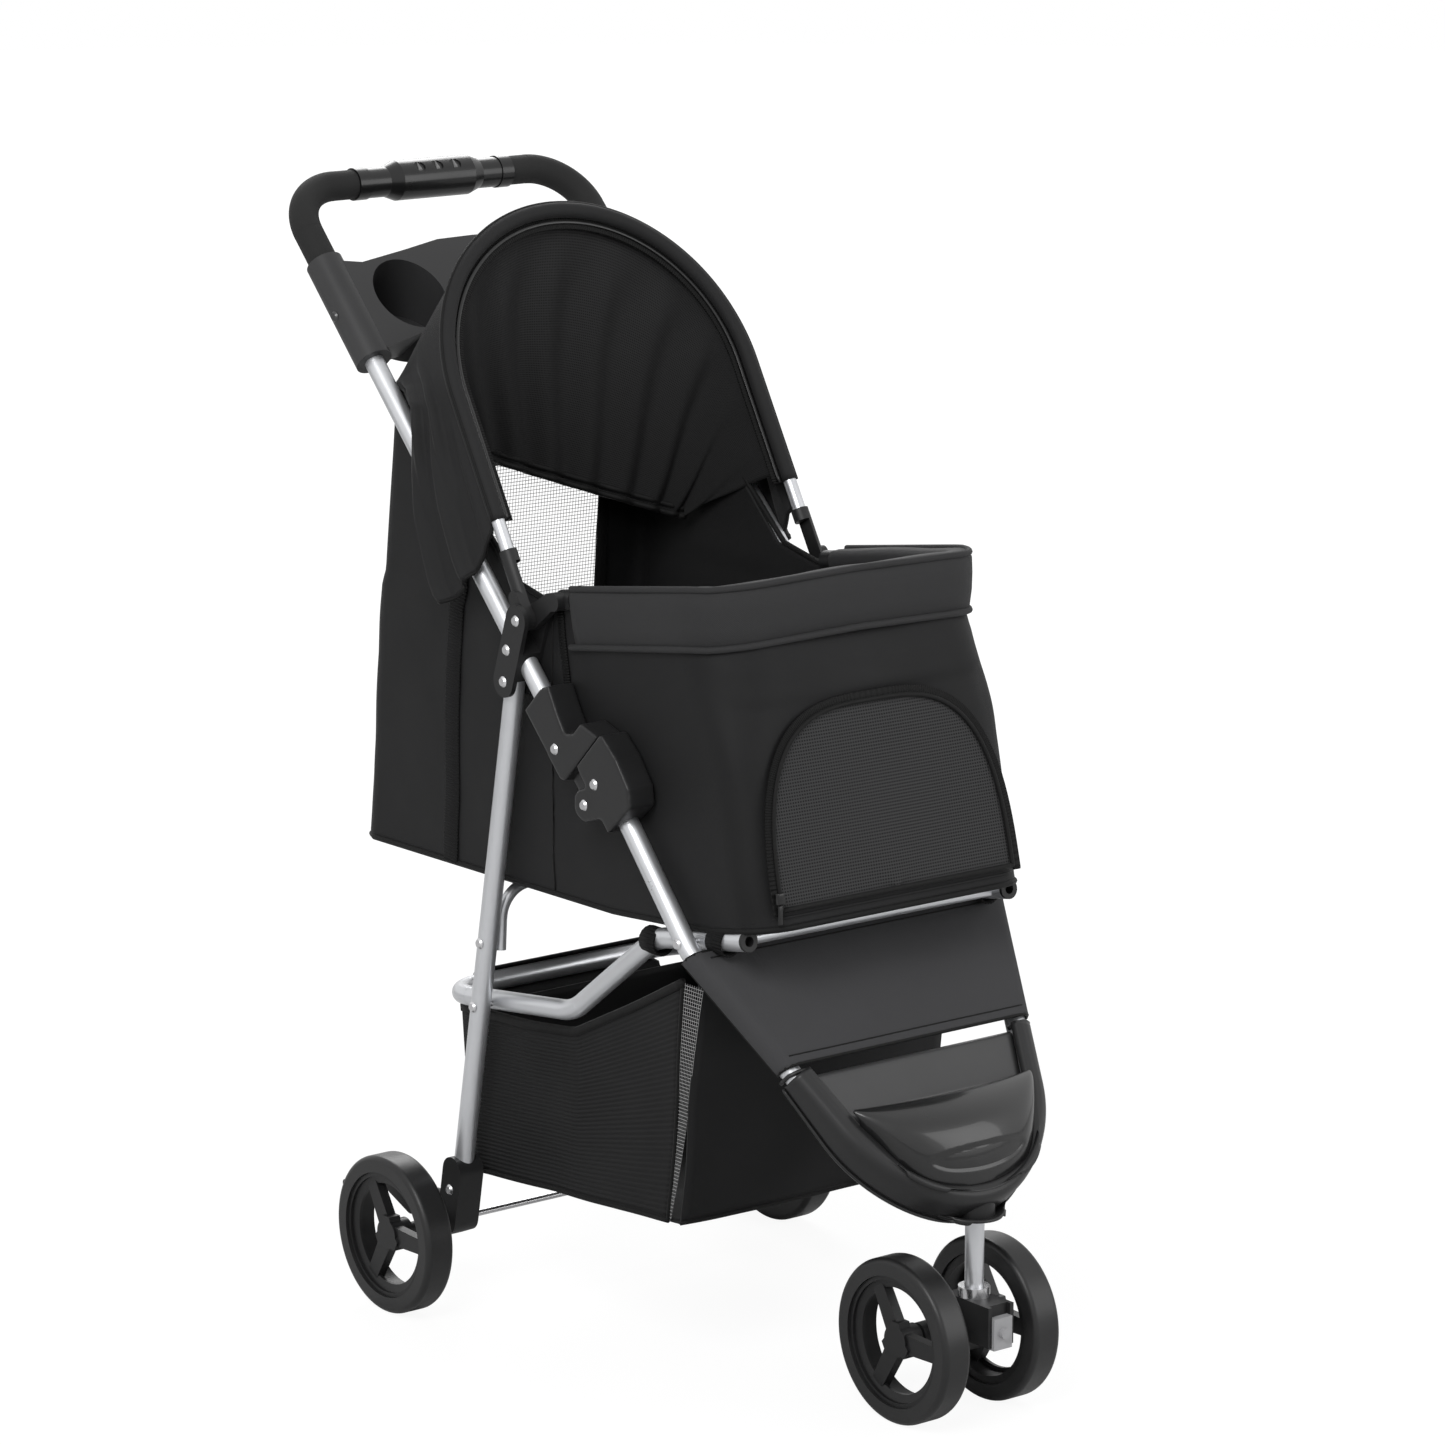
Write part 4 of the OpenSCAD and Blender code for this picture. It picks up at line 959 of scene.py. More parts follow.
@dataclass
class CabinCloth:
    """Sewn cabin: walls, windows, zips, piping, webbing and the rim's padded band.

    Attributes:
        half: half the cabin's width, in millimetres.
        front_r: radius of the front corners.
        hem_r: radius of the front corners under the rim's band.
        back_r: radius of the rear corners.
        puff: how far the walls crown out.
        window_half: half the front window's width.
        window_low: height of the front window's sill.
        window_high: height of the front window's top.
        rear_half: half the rear window's opening.
        rear_low: height of its lower edge.
        rear_high: height of its upper edge.
        rear_lap: how far its netting laps behind the wall.
        gather_y: place towards which the cloth would gather as the legs fold; not used.
        gather_keep: share of its depth that it would keep then; not used.
        body: body that it rides on.
    """

    half: float = 149.0
    front_r: float = 34.0
    hem_r: float = 54.0
    back_r: float = 14.0
    puff: float = 3.0
    window_half: float = 128.0
    window_low: float = 446.0
    window_high: float = 604.0
    rear_half: float = 99.0
    rear_low: float = 562.0
    rear_high: float = 746.0
    rear_lap: Pair = (3.0, 6.0)
    gather_y: float = 100.0
    gather_keep: float = 0.3
    body: str = "handle_frame"

    def front_y(self, z: float) -> float:
        """Gives the front wall's place at a height."""
        return path_value(FRONT_WALL, z)

    def back_y(self, z: float) -> float:
        """Gives the rear wall's place at a height."""
        return path_value(REAR_WALL, z)

    def plan(self, t: float, z: float) -> Pair:
        """Gives a point of the cabin's plan.

        Args:
            t: place along half the plan, 0 at the rear middle and 1 at the front middle.
            z: height.

        Returns:
            The point as (x, y).
        """
        yb, yf = self.back_y(z), self.front_y(z)
        rf = lerp(self.front_r, self.hem_r, smooth((z - 560.0) / 90.0))
        half, rb = self.half, self.back_r
        back, side, front = half - rb, (yb - rb) - (yf + rf), half - rf
        arc_b, arc_f = rb * math.pi / 2, rf * math.pi / 2
        run = t * (back + arc_b + side + arc_f + front)
        if run < back:
            return (run, yb)
        run -= back
        if run < arc_b:
            a = run / rb
            return (back + rb * math.sin(a), yb - rb + rb * math.cos(a))
        run -= arc_b
        if run < side:
            return (half, yb - rb - run)
        run -= side
        if run < arc_f:
            a = run / rf
            return (half - rf + rf * math.cos(a), yf + rf - rf * math.sin(a))
        return (max(0.0, front - (run - arc_f)), yf)

    def low_z(self, y: float) -> float:
        """Gives the height of the cabin's lower edge."""
        return path_value(LOW_EDGE, y)

    def top_z(self, y: float) -> float:
        """Gives the height of the cabin's upper edge."""
        return path_value(TOP_EDGE, y)

    def wall_point(self, side: float, t: float, v: float) -> Vector:
        """Gives a point of the wall, crowned and wrinkled a little.

        Args:
            side: 1 for the left wall and -1 for the right.
            t: place along the edge, from 0 to 1.
            v: place along, from 0 to 1.

        Returns:
            The point in metres.
        """
        _, y = self.plan(t, 600.0)
        lo, hi = self.low_z(y), self.top_z(y)
        z = lerp(lo, hi, v)
        x, y = self.plan(t, z)
        crown = math.sin(math.pi * min(1.0, max(0.0, v))) * self.puff
        p = at(side * x, y, z)
        centre = at(0.0, -140.0, z)
        out = p - centre
        out.z = 0.0
        out.normalize()
        fold = ripple(p, 11.0, 0.0022, 3.0) + ripple(p, 26.0, 0.0009, 9.0)
        edge = smooth(v * 8.0) * smooth((1.0 - v) * 8.0)
        if z > 640.0:
            edge *= 1.0 - smooth((z - 640.0) / 20.0)
        if t > 0.6:
            edge *= smooth((max(x / 128.0, abs(z - 520.0) / 88.0) - 1.0) / 0.12)
        if y > 90.0:
            edge *= smooth((max(x / 100.0, abs(z - 655.0) / 94.0) - 1.0) / 0.12)
        return p + out * (crown / 1000.0 * edge + fold * edge)

    def on_side(self, side: float, y: float, z: float, grow: float) -> Vector:
        """Gives the point of a side wall at a place, a little outside the cloth.

        Args:
            side: 1 for the left wall and -1 for the right.
            y: place along the stroller, in millimetres.
            z: height.
            grow: distance outside the cloth.

        Returns:
            The point in metres.
        """
        low, high = 0.1, 0.9
        for _ in range(24):
            mid = (low + high) / 2
            if self.plan(mid, z)[1] > y:
                low = mid
            else:
                high = mid
        flat_y = self.plan(low, 600.0)[1]
        lo, hi = self.low_z(flat_y), self.top_z(flat_y)
        return self.wall_point(side, low, (z - lo) / (hi - lo)) + Vector((side * grow / 1000.0, 0.0, 0.0))

    def is_rear_window(self, x: float, z: float) -> bool:
        """Tells whether a rear wall point lies in the rear window."""
        return abs(x) < self.rear_half and self.rear_low < z < self.rear_high

    def build_walls(self) -> None:
        """Builds the walls as two mirrored halves with an opening for the rear window."""
        bm = bmesh.new()
        bm.loops.layers.uv.new("cloth")
        for side in (1.0, -1.0):
            part = sheet_mesh(132, 60, lambda u, v: self.wall_point(side, u, v), (0.86, 0.40))
            if side < 0:
                bmesh.ops.reverse_faces(part, faces=part.faces)
            drop = []
            for face in part.faces:
                c = face.calc_center_median() * 1000.0
                if c.y - SHIFT > 90.0 and self.is_rear_window(c.x, c.z):
                    drop.append(face)
            bmesh.ops.delete(part, geom=drop, context="FACES")
            mesh = bpy.data.meshes.new("half")
            part.to_mesh(mesh)
            part.free()
            bm.from_mesh(mesh)
            bpy.data.meshes.remove(mesh)
        bmesh.ops.remove_doubles(bm, verts=bm.verts, dist=2e-5)
        obj = new_object("cabin_walls", bm, "cabin cloth")
        hang_cloth(obj, 0.0022, self.body)
        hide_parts("cabin")

    def build_floor(self) -> None:
        """Builds the sagging floor under the cabin and its baggy rear bottom."""

        def place(u: float, v: float) -> Vector:
            """Places one point of the floor.

            Args:
                u: place across, from 0 to 1.
                v: place along, from 0 to 1.

            Returns:
                The point in metres.
            """
            y = lerp(-438.0, 145.0, v)
            yb = 145.0
            inset = 0.0
            if y < -410.0:
                inset = 26.0 * ((-410.0 - y) / 28.0) ** 2
            if y > yb - 12.0:
                inset = 8.0 * ((y - yb + 12.0) / 12.0) ** 2
            x = lerp(-(self.half - inset), self.half - inset, u)
            ring = 1.0 - max(abs(2 * u - 1), abs(2 * v - 1)) ** 4
            bag = 8.0 * math.exp(-((y - 60.0) / 70.0) ** 2)
            z = self.low_z(y) - (2.0 + bag) * ring
            p = at(x, y, z)
            return p + Vector((0, 0, ripple(p, 14.0, 0.003, 5.0) * ring))

        obj = new_object("cabin_floor", sheet_mesh(40, 70, place, (0.30, 0.58)), "cabin cloth")
        hang_cloth(obj, 0.002, self.body)

    def build_base_pad(self) -> None:
        """Builds the crowned padded base that lies on the floor."""
        lo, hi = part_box("base_pad")
        bm = bmesh.new()
        bmesh.ops.create_cube(bm, size=1.0)
        bmesh.ops.subdivide_edges(bm, edges=bm.edges, cuts=14, use_grid_fill=True)
        mid = [(a + b) / 2 for a, b in zip(lo, hi)]
        span = [b - a for a, b in zip(lo, hi)]
        for vert in bm.verts:
            cx, cy, cz = (c * 2 for c in vert.co)
            rim = max(abs(cx), abs(cy))
            thin = 1.0 - 0.55 * smooth((rim - 0.8) / 0.2)
            rise = 0.018 * smooth((-cy - 0.45) / 0.55)
            quilt = 0.0022 * (abs(math.cos(cx * 4.7)) * abs(math.cos(cy * 7.8)) - 0.5)
            vert.co = Vector((mid[0] + cx * span[0] * 0.485 * (1 - 0.03 * cz * cz),
                              mid[1] + cy * span[1] * 0.49,
                              lo[2] + 0.002 + (cz * 0.5 + 0.5) * 0.011 * thin + rise * 0.9 + (quilt if cz > 0.5 else 0.0)))
        flat_uv(bm, 1)
        obj = new_object("base_cushion", bm, "cabin cloth")
        settle(obj, self.body)
        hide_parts("base_pad")

    def build_window(self) -> None:
        """Builds the front window of netting with its zip and bead."""
        half_w, low, high = self.window_half, self.window_low, self.window_high

        def outline(a: float) -> Pair:
            """Gives the D-shaped edge at an angle.

            Args:
                a: the angle, in radians.

            Returns:
                The point as a pair, in millimetres.
            """
            c, s = math.cos(a), math.sin(a)
            x = half_w * (1.0 if c > 0 else -1.0) * abs(c) ** 0.62
            z = low + (high - low) * abs(s) ** 0.72
            return (x, z)

        def place(u: float, v: float) -> Vector:
            """Places one point of the netting.

            Args:
                u: place across, from 0 to 1.
                v: place along, from 0 to 1.

            Returns:
                The point in metres.
            """
            x0, z0 = outline(math.pi * (1.0 - u))
            x = x0 * (0.02 + 0.98 * v) if v > 0 else x0 * 0.02
            z = lerp(low + 2.0, z0, v)
            y = self.front_y(z) - 3.4 - 1.6 * math.sin(math.pi * u) * (1 - v * v)
            return at(x, y, z)

        bm = sheet_mesh(48, 14, place, (0.26, 0.17))
        flat_uv(bm)
        net = new_object("front_window_net", bm, "window net")
        hang_cloth(net, 0.0, self.body)
        arc = []
        for i in range(61):
            x, z = outline(math.pi * (1.0 - i / 60))
            arc.append(at(x, self.front_y(z) - 5.0, z))
        edge = [at(-half_w, self.front_y(low) - 5.0, low - 2)] + arc + [at(
            half_w, self.front_y(low) - 5.0, low - 2
        )]
        settle(cord_piece("front_window_bead", edge, 0.0021, "piping"), self.body)
        outer = []
        for p in edge:
            c = at(0.0, self.front_y(500.0), 500.0)
            d = p - c
            outer.append(c + d * 1.035 + Vector((0, 0.0006, 0)))
        settle(
            strap_piece(
                "front_window_zip", outer, flat_section(0.0085, 0.0016), "zip tape", False,
                Vector((0, -1, 0.22))
            ),
            self.body
        )
        settle(
            cord_piece(
                "front_window_sill",
                even_path(
                    [at(-half_w, self.front_y(low) - 4.6, low), at(half_w, self.front_y(low) - 4.6, low)],
                    0.012
                ),
                0.0024, "piping"
            ),
            self.body
        )
        self.zip_pull("front_window_pull", at(-half_w - 4.0, self.front_y(low) - 8.0, low + 12.0))

    def zip_pull(self, name: str, top: Vector) -> None:
        """Builds a moulded zip pull that hangs from a point.

        Args:
            name: the piece's name.
            top: the point.
        """
        bm = bmesh.new()
        for size, drop in (((0.0075, 0.0045, 0.010), 0.0), ((0.0045, 0.0022, 0.017), -0.0145)):
            made = bmesh.ops.create_cube(bm, size=1.0)["verts"]
            for vert in made:
                vert.co = top + Vector((vert.co.x * size[0], vert.co.y * size[1], vert.co.z * size[2] + drop))
        bmesh.ops.bevel(
            bm, geom=bm.edges[:], offset=0.0009, segments=2, affect="EDGES", profile=0.5, material=-1
        )
        flat_uv(bm)
        obj = new_object(name, bm, "grip gloss")
        settle(obj, self.body)

    def build_rear_window(self) -> None:
        """Builds the rear window's netting and its bound edge."""

        def place(u: float, v: float) -> Vector:
            """Places one point of the netting.

            Args:
                u: place across, from 0 to 1.
                v: place along, from 0 to 1.

            Returns:
                The point in metres.
            """
            wide, tall = self.rear_lap
            x = lerp(-self.rear_half - wide, self.rear_half + wide, u)
            z = lerp(self.rear_low - tall, self.rear_high + tall, v)
            return at(x, self.back_y(z) - 1.0, z)

        net = new_object("rear_window_net", sheet_mesh(20, 20, place, (0.204, 0.196)), "clear net")
        hang_cloth(net, 0.0, self.body)
        ring = []
        for cx, cz, start in (
            (80.0, 580.0, -90.0), (76.0, 724.0, 0.0), (-76.0, 724.0, 90.0), (-80.0, 580.0, 180.0)
        ):
            for i in range(9):
                a = math.radians(start + 90.0 * i / 8.0)
                ring.append((cx + 21.0 * math.cos(a), cz + 21.0 * math.sin(a)))
        loop = [at(x, self.back_y(z) - 2.0, z) for x, z in ring]
        settle(
            strap_piece(
                "rear_window_binding", loop, flat_section(0.012, 0.003), "piping", True, Vector((0, 1, 0.12))
            ),
            self.body
        )

    def build_trim(self) -> None:
        """Builds the piping, seams, webbing and zip of the walls."""
        ring: List[Vector] = []
        for i in range(120):
            t = i / 120.0
            side, s = (1.0, t * 2) if t < 0.5 else (-1.0, 2 - t * 2)
            ring.append(self.wall_point(side, s, 0.0) + Vector((0, 0, 0.0005)))
        settle(cord_piece("cabin_floor_piping", ring, 0.0030, "piping", True), self.body)
        for side, tag in SIDES:
            top: List[Vector] = []
            for i in range(40):
                y = lerp(96.0, -172.0, i / 39.0)
                top.append(at(side * (self.half + 0.6), y, self.top_z(y) + 0.5))
            settle(cord_piece("cabin_side_piping_" + tag, top, 0.0026, "piping"), self.body)
            seam = [self.on_side(side, -150.0, lerp(410.0, 655.0, i / 30.0), 1.3) for i in range(31)]
            settle(cord_piece("cabin_side_seam_" + tag, seam, 0.0010, "piping"), self.body)
            web_path = [self.on_side(
                side, lerp(7.0, -16.0, i / 40.0), lerp(405.0, 700.0, i / 40.0), 2.2
            ) for i in range(41)]
            settle(
                strap_piece(
                    "cabin_side_web_" + tag, web_path, flat_section(0.021, 0.0016), "webbing", False,
                    Vector((1, 0, 0))
                ),
                self.body
            )
            zip_path = [self.on_side(
                side, lerp(-161.0, -176.0, i / 16.0), lerp(660.0, 583.0, i / 16.0), 2.0
            ) for i in range(17)]
            settle(
                strap_piece(
                    "rim_zip_" + tag, zip_path, flat_section(0.009, 0.002), "zip tape", False,
                    Vector((1, 0, 0))
                ),
                self.body
            )
            self.zip_pull("rim_zip_pull_" + tag, at(side * (self.half + 7.5), -177.0, 582.0))

    def rim_path(self) -> List[Vector]:
        """Gives the line round the rim from the left side, past the front, to the right.

        Returns:
            The points in metres.
        """
        start, front = -180.0, -378.0
        half, r = 150.6, 50.0
        pts: List[Pair] = [(half, start)]
        for i in range(0, 17):
            a = math.pi / 2 * i / 16
            pts.append((half - r + r * math.cos(a), front + r - r * math.sin(a)))
        pts.append((0.0, front - 3.0))
        full = pts + [(-x, y) for x, y in reversed(pts[:-1])]
        out = []
        for x, y in full:
            z = 684.0 + (start - y) * 0.152 + (1.5 * math.cos(x / 150.0 * math.pi) if y < -350 else 0.0)
            out.append(at(x, y, z))
        return even_path(out, 0.009)

    def build_rim(self) -> None:
        """Builds the padded band that wraps the rim hoop, with its two beads."""
        path = self.rim_path()
        bm = sweep_mesh(path, [(-side, up) for side, up in BAND_SECTION], False)
        for vert in bm.verts:
            vert.co += Vector((0, 0, ripple(vert.co, 18.0, 0.0012, 1.0)))
        band = new_object("rim_band", bm, "rim cloth")
        settle(band, "rim")
        for tag, dz, off in (("top", -0.0008, 0.0030), ("low", -0.052, 0.0036)):
            line = []
            for i, p in enumerate(path):
                before, after = path[max(0, i - 1)], path[min(len(path) - 1, i + 1)]
                out = (after - before).normalized().cross(Vector((0, 0, 1)))
                line.append(p - out * off + Vector((0, 0, dz)))
            settle(cord_piece("rim_bead_" + tag, line, 0.0030, "rim cloth"), "rim")

    def build(self) -> None:
        """Builds every piece of the cabin and gives each piece but the rim its own mesh."""
        before = set(bpy.data.objects.keys())
        self.build_walls()
        self.build_floor()
        self.build_base_pad()
        self.build_window()
        self.build_rear_window()
        self.build_trim()
        for piece in [o for o in bpy.data.objects if o.name not in before]:
            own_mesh(piece)
        self.build_rim()


# -------------------------------------------------------------------- hood

# Hood's rear edge beside the handle, from its tip at 0 to the rear wall at 1: (share, place)
REAR_Y: List[Pair] = [
    (0.0, -26.0), (0.05, -19.0), (0.12, -11.0), (0.28, 6.0), (0.45, 13.0), (0.62, 16.0), (0.72, 24.0),
    (0.84, 56.0), (1.0, 94.0),
]
# The same edge: (share, height)
REAR_Z: List[Pair] = [
    (0.0, 653.0), (0.05, 657.0), (0.12, 672.0), (0.28, 722.0), (0.45, 765.0), (0.62, 803.0), (0.72, 818.0),
    (0.84, 827.0), (1.0, 826.0),
]
# The same edge: (share, distance to the side)
REAR_X: List[Pair] = [
    (0.0, 180.0), (0.3, 183.0), (0.62, 181.0), (0.74, 174.0), (0.86, 158.0), (1.0, 145.0),
]


@dataclass
class HoodCloth:
    """Hood: outer sheet with its side drapes, inner curtain, bow sleeve and zip band.

    Attributes:
        bow_x: half width of the bow, in millimetres.
        straight: length of the bow's straight sides.
        still: distance behind the bow from which the cloth would stay with the rear wall; not used.
        moving: distance behind the bow up to which it would move with the bow; not used.
        body: body that it rides on.
    """

    bow_x: float = 163.0
    straight: float = 211.0
    still: float = 78.0
    moving: float = 14.0
    body: str = "hood"

    def arch(self, t: float, grow: float = 0.0, low: float = 85.0) -> Pair:
        """Gives a point of the bow's arch.

        Args:
            t: place along the arch, from 0 at the right side to 1 at the left.
            grow: distance outside the bow's middle line.
            low: distance from the pivot at which it starts.

        Returns:
            The point as (x, distance from the pivot).
        """
        r = self.bow_x + grow
        leg = self.straight - low
        total = 2 * leg + math.pi * self.bow_x
        run = t * total
        if run < leg:
            return (-r, low + run)
        run -= leg
        if run < math.pi * self.bow_x:
            a = run / self.bow_x
            return (-r * math.cos(a), self.straight + r * math.sin(a))
        run -= math.pi * self.bow_x
        return (r, self.straight - run)

    def back(self, t: float) -> Vector:
        """Gives the hood's rear edge: across the rear wall's top, then down outside each handle tube.

        Args:
            t: place along the edge, from 0 to 1.

        Returns:
            The point in metres.
        """
        side = -1.0 if t < 0.5 else 1.0
        k = min(t, 1.0 - t) / 0.2
        if k >= 1.0:
            x = -145.0 * math.cos(math.pi * (t - 0.2) / 0.6)
            return at(x, 94.0, 826.0 + 10.0 * math.cos(x / 145.0 * math.pi / 2))
        y = path_value(REAR_Y, k)
        z = path_value(REAR_Z, k)
        x = path_value(REAR_X, k)
        return at(side * x, y, z)

    def cover_point(self, u: float, v: float) -> Vector:
        """Gives a point of the outer sheet, from the bow at v = 0 to the rear edge at v = 1.

        Args:
            u: place across, from 0 to 1.
            v: place along, from 0 to 1.

        Returns:
            The point in metres.
        """
        x, s = self.arch(u, 2.0, 92.0)
        front = in_bow(x, s, -6.5)
        p = front.lerp(self.back(u), v)
        mid = math.sin(math.pi * v)
        side = 1.0 if x > 0 else -1.0
        flank = 1.0 - smooth((min(u, 1.0 - u) - 0.1) / 0.14)
        top = 1.0 - flank
        up = Vector((0, 0.35, 0.94)) * (0.009 * mid * top)
        sag = Vector((0, 0, ripple(p, 15.0, 0.004, 2.0) * mid * top))
        bow = Vector((side * 0.004 * mid * flank, 0.0, 0.0))
        swing = 0.0062 * math.sin(v * 15.0 + u * 12.0) + 0.0026 * math.sin(v * 29.0 - u * 22.0)
        folds = Vector((side * max(-0.0015, swing) * smooth(v * 3.0) * flank, 0.0, 0.0))
        foot = 1.0 - smooth(min(u, 1.0 - u) / 0.10)
        hem = Vector((0.0, -0.010, -0.013)) * (mid ** 0.6 * foot)
        return p + up + sag + bow + folds + hem

    def settle_across(self, piece: bpy.types.Object) -> None:
        """Bakes a piece's placement into its mesh and logs it as stretching between the rear wall and the bow.

        Args:
            piece: the cloth piece, with its mesh final.
        """
        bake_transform(piece)
        LOG.info("%s stretches from handle_frame to %s", piece.name, self.body)

    def build_cover(self) -> None:
        """Builds the outer sheet of the hood."""
        obj = new_object("hood_cover", sheet_mesh(180, 36, self.cover_point, (0.95, 0.20)), "hood cloth")
        solidify(obj, 0.0018)
        self.settle_across(obj)
        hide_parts("canopy_cover")
        edge = [self.cover_point(0.0, i / 24.0) for i in range(24)]
        edge += [self.cover_point(i / 180.0, 1.0) for i in range(181)]
        edge += [self.cover_point(1.0, 1.0 - i / 24.0) for i in range(1, 25)]
        self.settle_across(cord_piece("hood_hem", edge, 0.0018, "piping"))

    def build_curtain(self) -> None:
        """Builds the inner curtain of netting with its soft upright folds."""

        def place(u: float, v: float) -> Vector:
            """Places one point of the curtain.

            Args:
                u: place across, from 0 to 1.
                v: place along, from 0 to 1.

            Returns:
                The point in metres.
            """
            x, s = self.arch(lerp(0.01, 0.99, u), -9.0, 94.0)
            front = in_bow(x, s, -7.0)
            a = math.pi * u
            bx = -132.0 * math.cos(a)
            hang = 744.0 - 0.36 * (bx + 34.0)
            back = at(bx, 80.0 - 46.0 * math.cos(a) ** 2, hang)
            p = front.lerp(back, v)
            swell = 0.012 * math.sin(math.pi * v) * math.sin(a)
            fold = 0.004 * math.sin(u * 70.0 + 1.5 * math.sin(v * 4.0)) * smooth(v * 4.0)
            return p + Vector((0, -swell * 0.4 + fold, -swell))

        obj = new_object("hood_curtain", sheet_mesh(150, 34, place, (0.80, 0.22)), "curtain net")
        solidify(obj, 0.0012)
        self.settle_across(obj)
        hem = [place(i / 60.0, 1.0) + Vector((0, -0.001, 0)) for i in range(61)]
        for tag, lift in (("low", 0.0), ("high", 0.0075)):
            bead = cord_piece(
                "hood_curtain_hem_" + tag, [q + Vector((0, 0, lift)) for q in hem], 0.0030, "piping"
            )
            self.settle_across(bead)

    def build_sleeve(self) -> None:
        """Builds the cloth sleeve round the bow, its bead and the zip band beside it."""
        mid: List[Vector] = []
        bead: List[Vector] = []
        band: List[Vector] = []
        for i in range(121):
            t = i / 120.0
            x, s = self.arch(t, 0.0, 92.0)
            mid.append(in_bow(x, s, 0.0))
            x, s = self.arch(t, 6.6, 92.0)
            bead.append(in_bow(x, s, 2.0))
            x, s = self.arch(t, -11.0, 92.0)
            band.append(in_bow(x, s, -3.0))
        settle(
            strap_piece("hood_sleeve", mid, round_section(0.0072, 12), "hood cloth", False, BOW_FACE),
            self.body
        )
        settle(cord_piece("hood_bead", bead, 0.0016, "piping"), self.body)
        settle(
            strap_piece("hood_zip", band, flat_section(0.013, 0.002), "zip tape", False, BOW_FACE), self.body
        )
        teeth = strap_piece(
            "hood_zip_teeth", [p + Vector((0, -0.0016, 0.0009)) for p in band], flat_section(0.0035, 0.0018),
            "grip gloss", False, BOW_FACE
        )
        settle(teeth, self.body)

    def build(self) -> None:
        """Builds every piece of the hood."""
        self.build_cover()
        self.build_curtain()
        self.build_sleeve()


# ------------------------------------------------------------------ basket


@dataclass
class BasketCloth:
    """Lower basket: ribbed sides, solid front, see-through gussets and flaps.

    Attributes:
        half: half the basket's width, in millimetres.
        body: body that it rides on.
    """

    half: float = 144.0
    body: str = "cradle"

    def top_z(self, y: float) -> float:
        """Gives the height of the basket's upper edge."""
        return path_value([(-342.0, 372.0), (-165.0, 291.0), (-110.0, 284.0), (5.0, 270.0)], y)

    def low_z(self, y: float) -> float:
        """Gives the height of the basket's lower edge."""
        return path_value([(-318.0, 145.0), (-13.0, 120.0)], y)

    def build_sides(self) -> None:
        """Builds the two side walls with their see-through gusset at the front."""
        for side, tag in SIDES:

            def place(u: float, v: float) -> Vector:
                """Places one point of a side wall.

                Args:
                    u: place across, from 0 to 1.
                    v: place along, from 0 to 1.

                Returns:
                    The point in metres.
                """
                y_low, y_top = lerp(-13.0, -300.0, u), lerp(5.0, -322.0, u)
                z0, z1 = self.low_z(y_low), self.top_z(y_top) - 7.0 * math.sin(math.pi * u)
                y, z = lerp(y_low, y_top, v), lerp(z0, z1, v)
                belly = 4.0 * math.sin(math.pi * v) * math.sin(math.pi * u)
                p = at(side * (self.half - 3.0 - belly), y, z)
                return p + Vector((ripple(p, 16.0, 0.003, 4.0), 0, 0))

            bm = sheet_mesh(40, 26, place, (0.29, 0.17))
            if side < 0:
                bmesh.ops.reverse_faces(bm, faces=bm.faces)
            wall = new_object("basket_side_" + tag, bm, "basket rib")
            hang_cloth(wall, 0.0016, self.body)
            bind = line_on(place, 40, 1.0)
            settle(
                strap_piece(
                    "basket_side_binding_" + tag, bind,
                    [(-0.0022, -0.005), (0.0022, -0.005), (0.0026, 0.0015), (0.0, 0.003), (-0.0026, 0.0015)],
                    "piping"
                ),
                self.body
            )
            post = [place(1.0, i / 20.0) for i in range(21)]
            settle(cord_piece("basket_side_post_" + tag, post, 0.0020, "piping"), self.body)
            foot = line_on(place, 40, 0.0)
            settle(cord_piece("basket_side_foot_" + tag, foot, 0.0024, "piping"), self.body)

            def gusset(u: float, v: float) -> Vector:
                """Places one point of the see-through gusset.

                Args:
                    u: place across, from 0 to 1.
                    v: place along, from 0 to 1.

                Returns:
                    The point in metres.
                """
                a = place(1.0, v * 0.995)
                width = lerp(0.004, 0.028, v)
                return a + Vector((0.0, -width * u, 0.0))

            net = new_object("basket_gusset_" + tag, sheet_mesh(6, 26, gusset, (0.03, 0.22)), "clear net")
            hang_cloth(net, 0.0, self.body)

    def build_front(self) -> None:
        """Builds the front, floor and rear panels."""

        def front(u: float, v: float) -> Vector:
            """Places one point of the front panel.

            Args:
                u: place across, from 0 to 1.
                v: place along, from 0 to 1.

            Returns:
                The point in metres.
            """
            x = lerp(-self.half + 3.0, self.half - 3.0, u)
            y = lerp(-316.0, -343.0, v) - 4.0 * math.sin(math.pi * u) * math.sin(math.pi * v)
            z = lerp(145.0 - 3.0 * math.sin(math.pi * u), 370.0 - 10.0 * math.sin(math.pi * u), v)
            p = at(x, y, z)
            return p + Vector((0, ripple(p, 13.0, 0.004, 6.0), 0))

        def floor(u: float, v: float) -> Vector:
            """Places one point of the floor.

            Args:
                u: place across, from 0 to 1.
                v: place along, from 0 to 1.

            Returns:
                The point in metres.
            """
            x = lerp(-self.half + 3.0, self.half - 3.0, u)
            y = lerp(-13.0, -316.0, v)
            sag = 3.0 * math.sin(math.pi * u)
            return at(
                x, y, self.low_z(y) - sag * 0.2 - 3.0 * math.sin(math.pi * u) * math.sin(math.pi * v) * 0.5
            )

        def rear(u: float, v: float) -> Vector:
            """Places one point of the rear panel.

            Args:
                u: place across, from 0 to 1.
                v: place along, from 0 to 1.

            Returns:
                The point in metres.
            """
            x = lerp(-self.half + 3.0, self.half - 3.0, u)
            y, z = lerp(-13.0, 6.0, v), lerp(120.0, 268.0, v)
            p = at(x, y + 2.0 * math.sin(math.pi * v), z)
            return p + Vector((0, ripple(p, 15.0, 0.003, 7.0), 0))

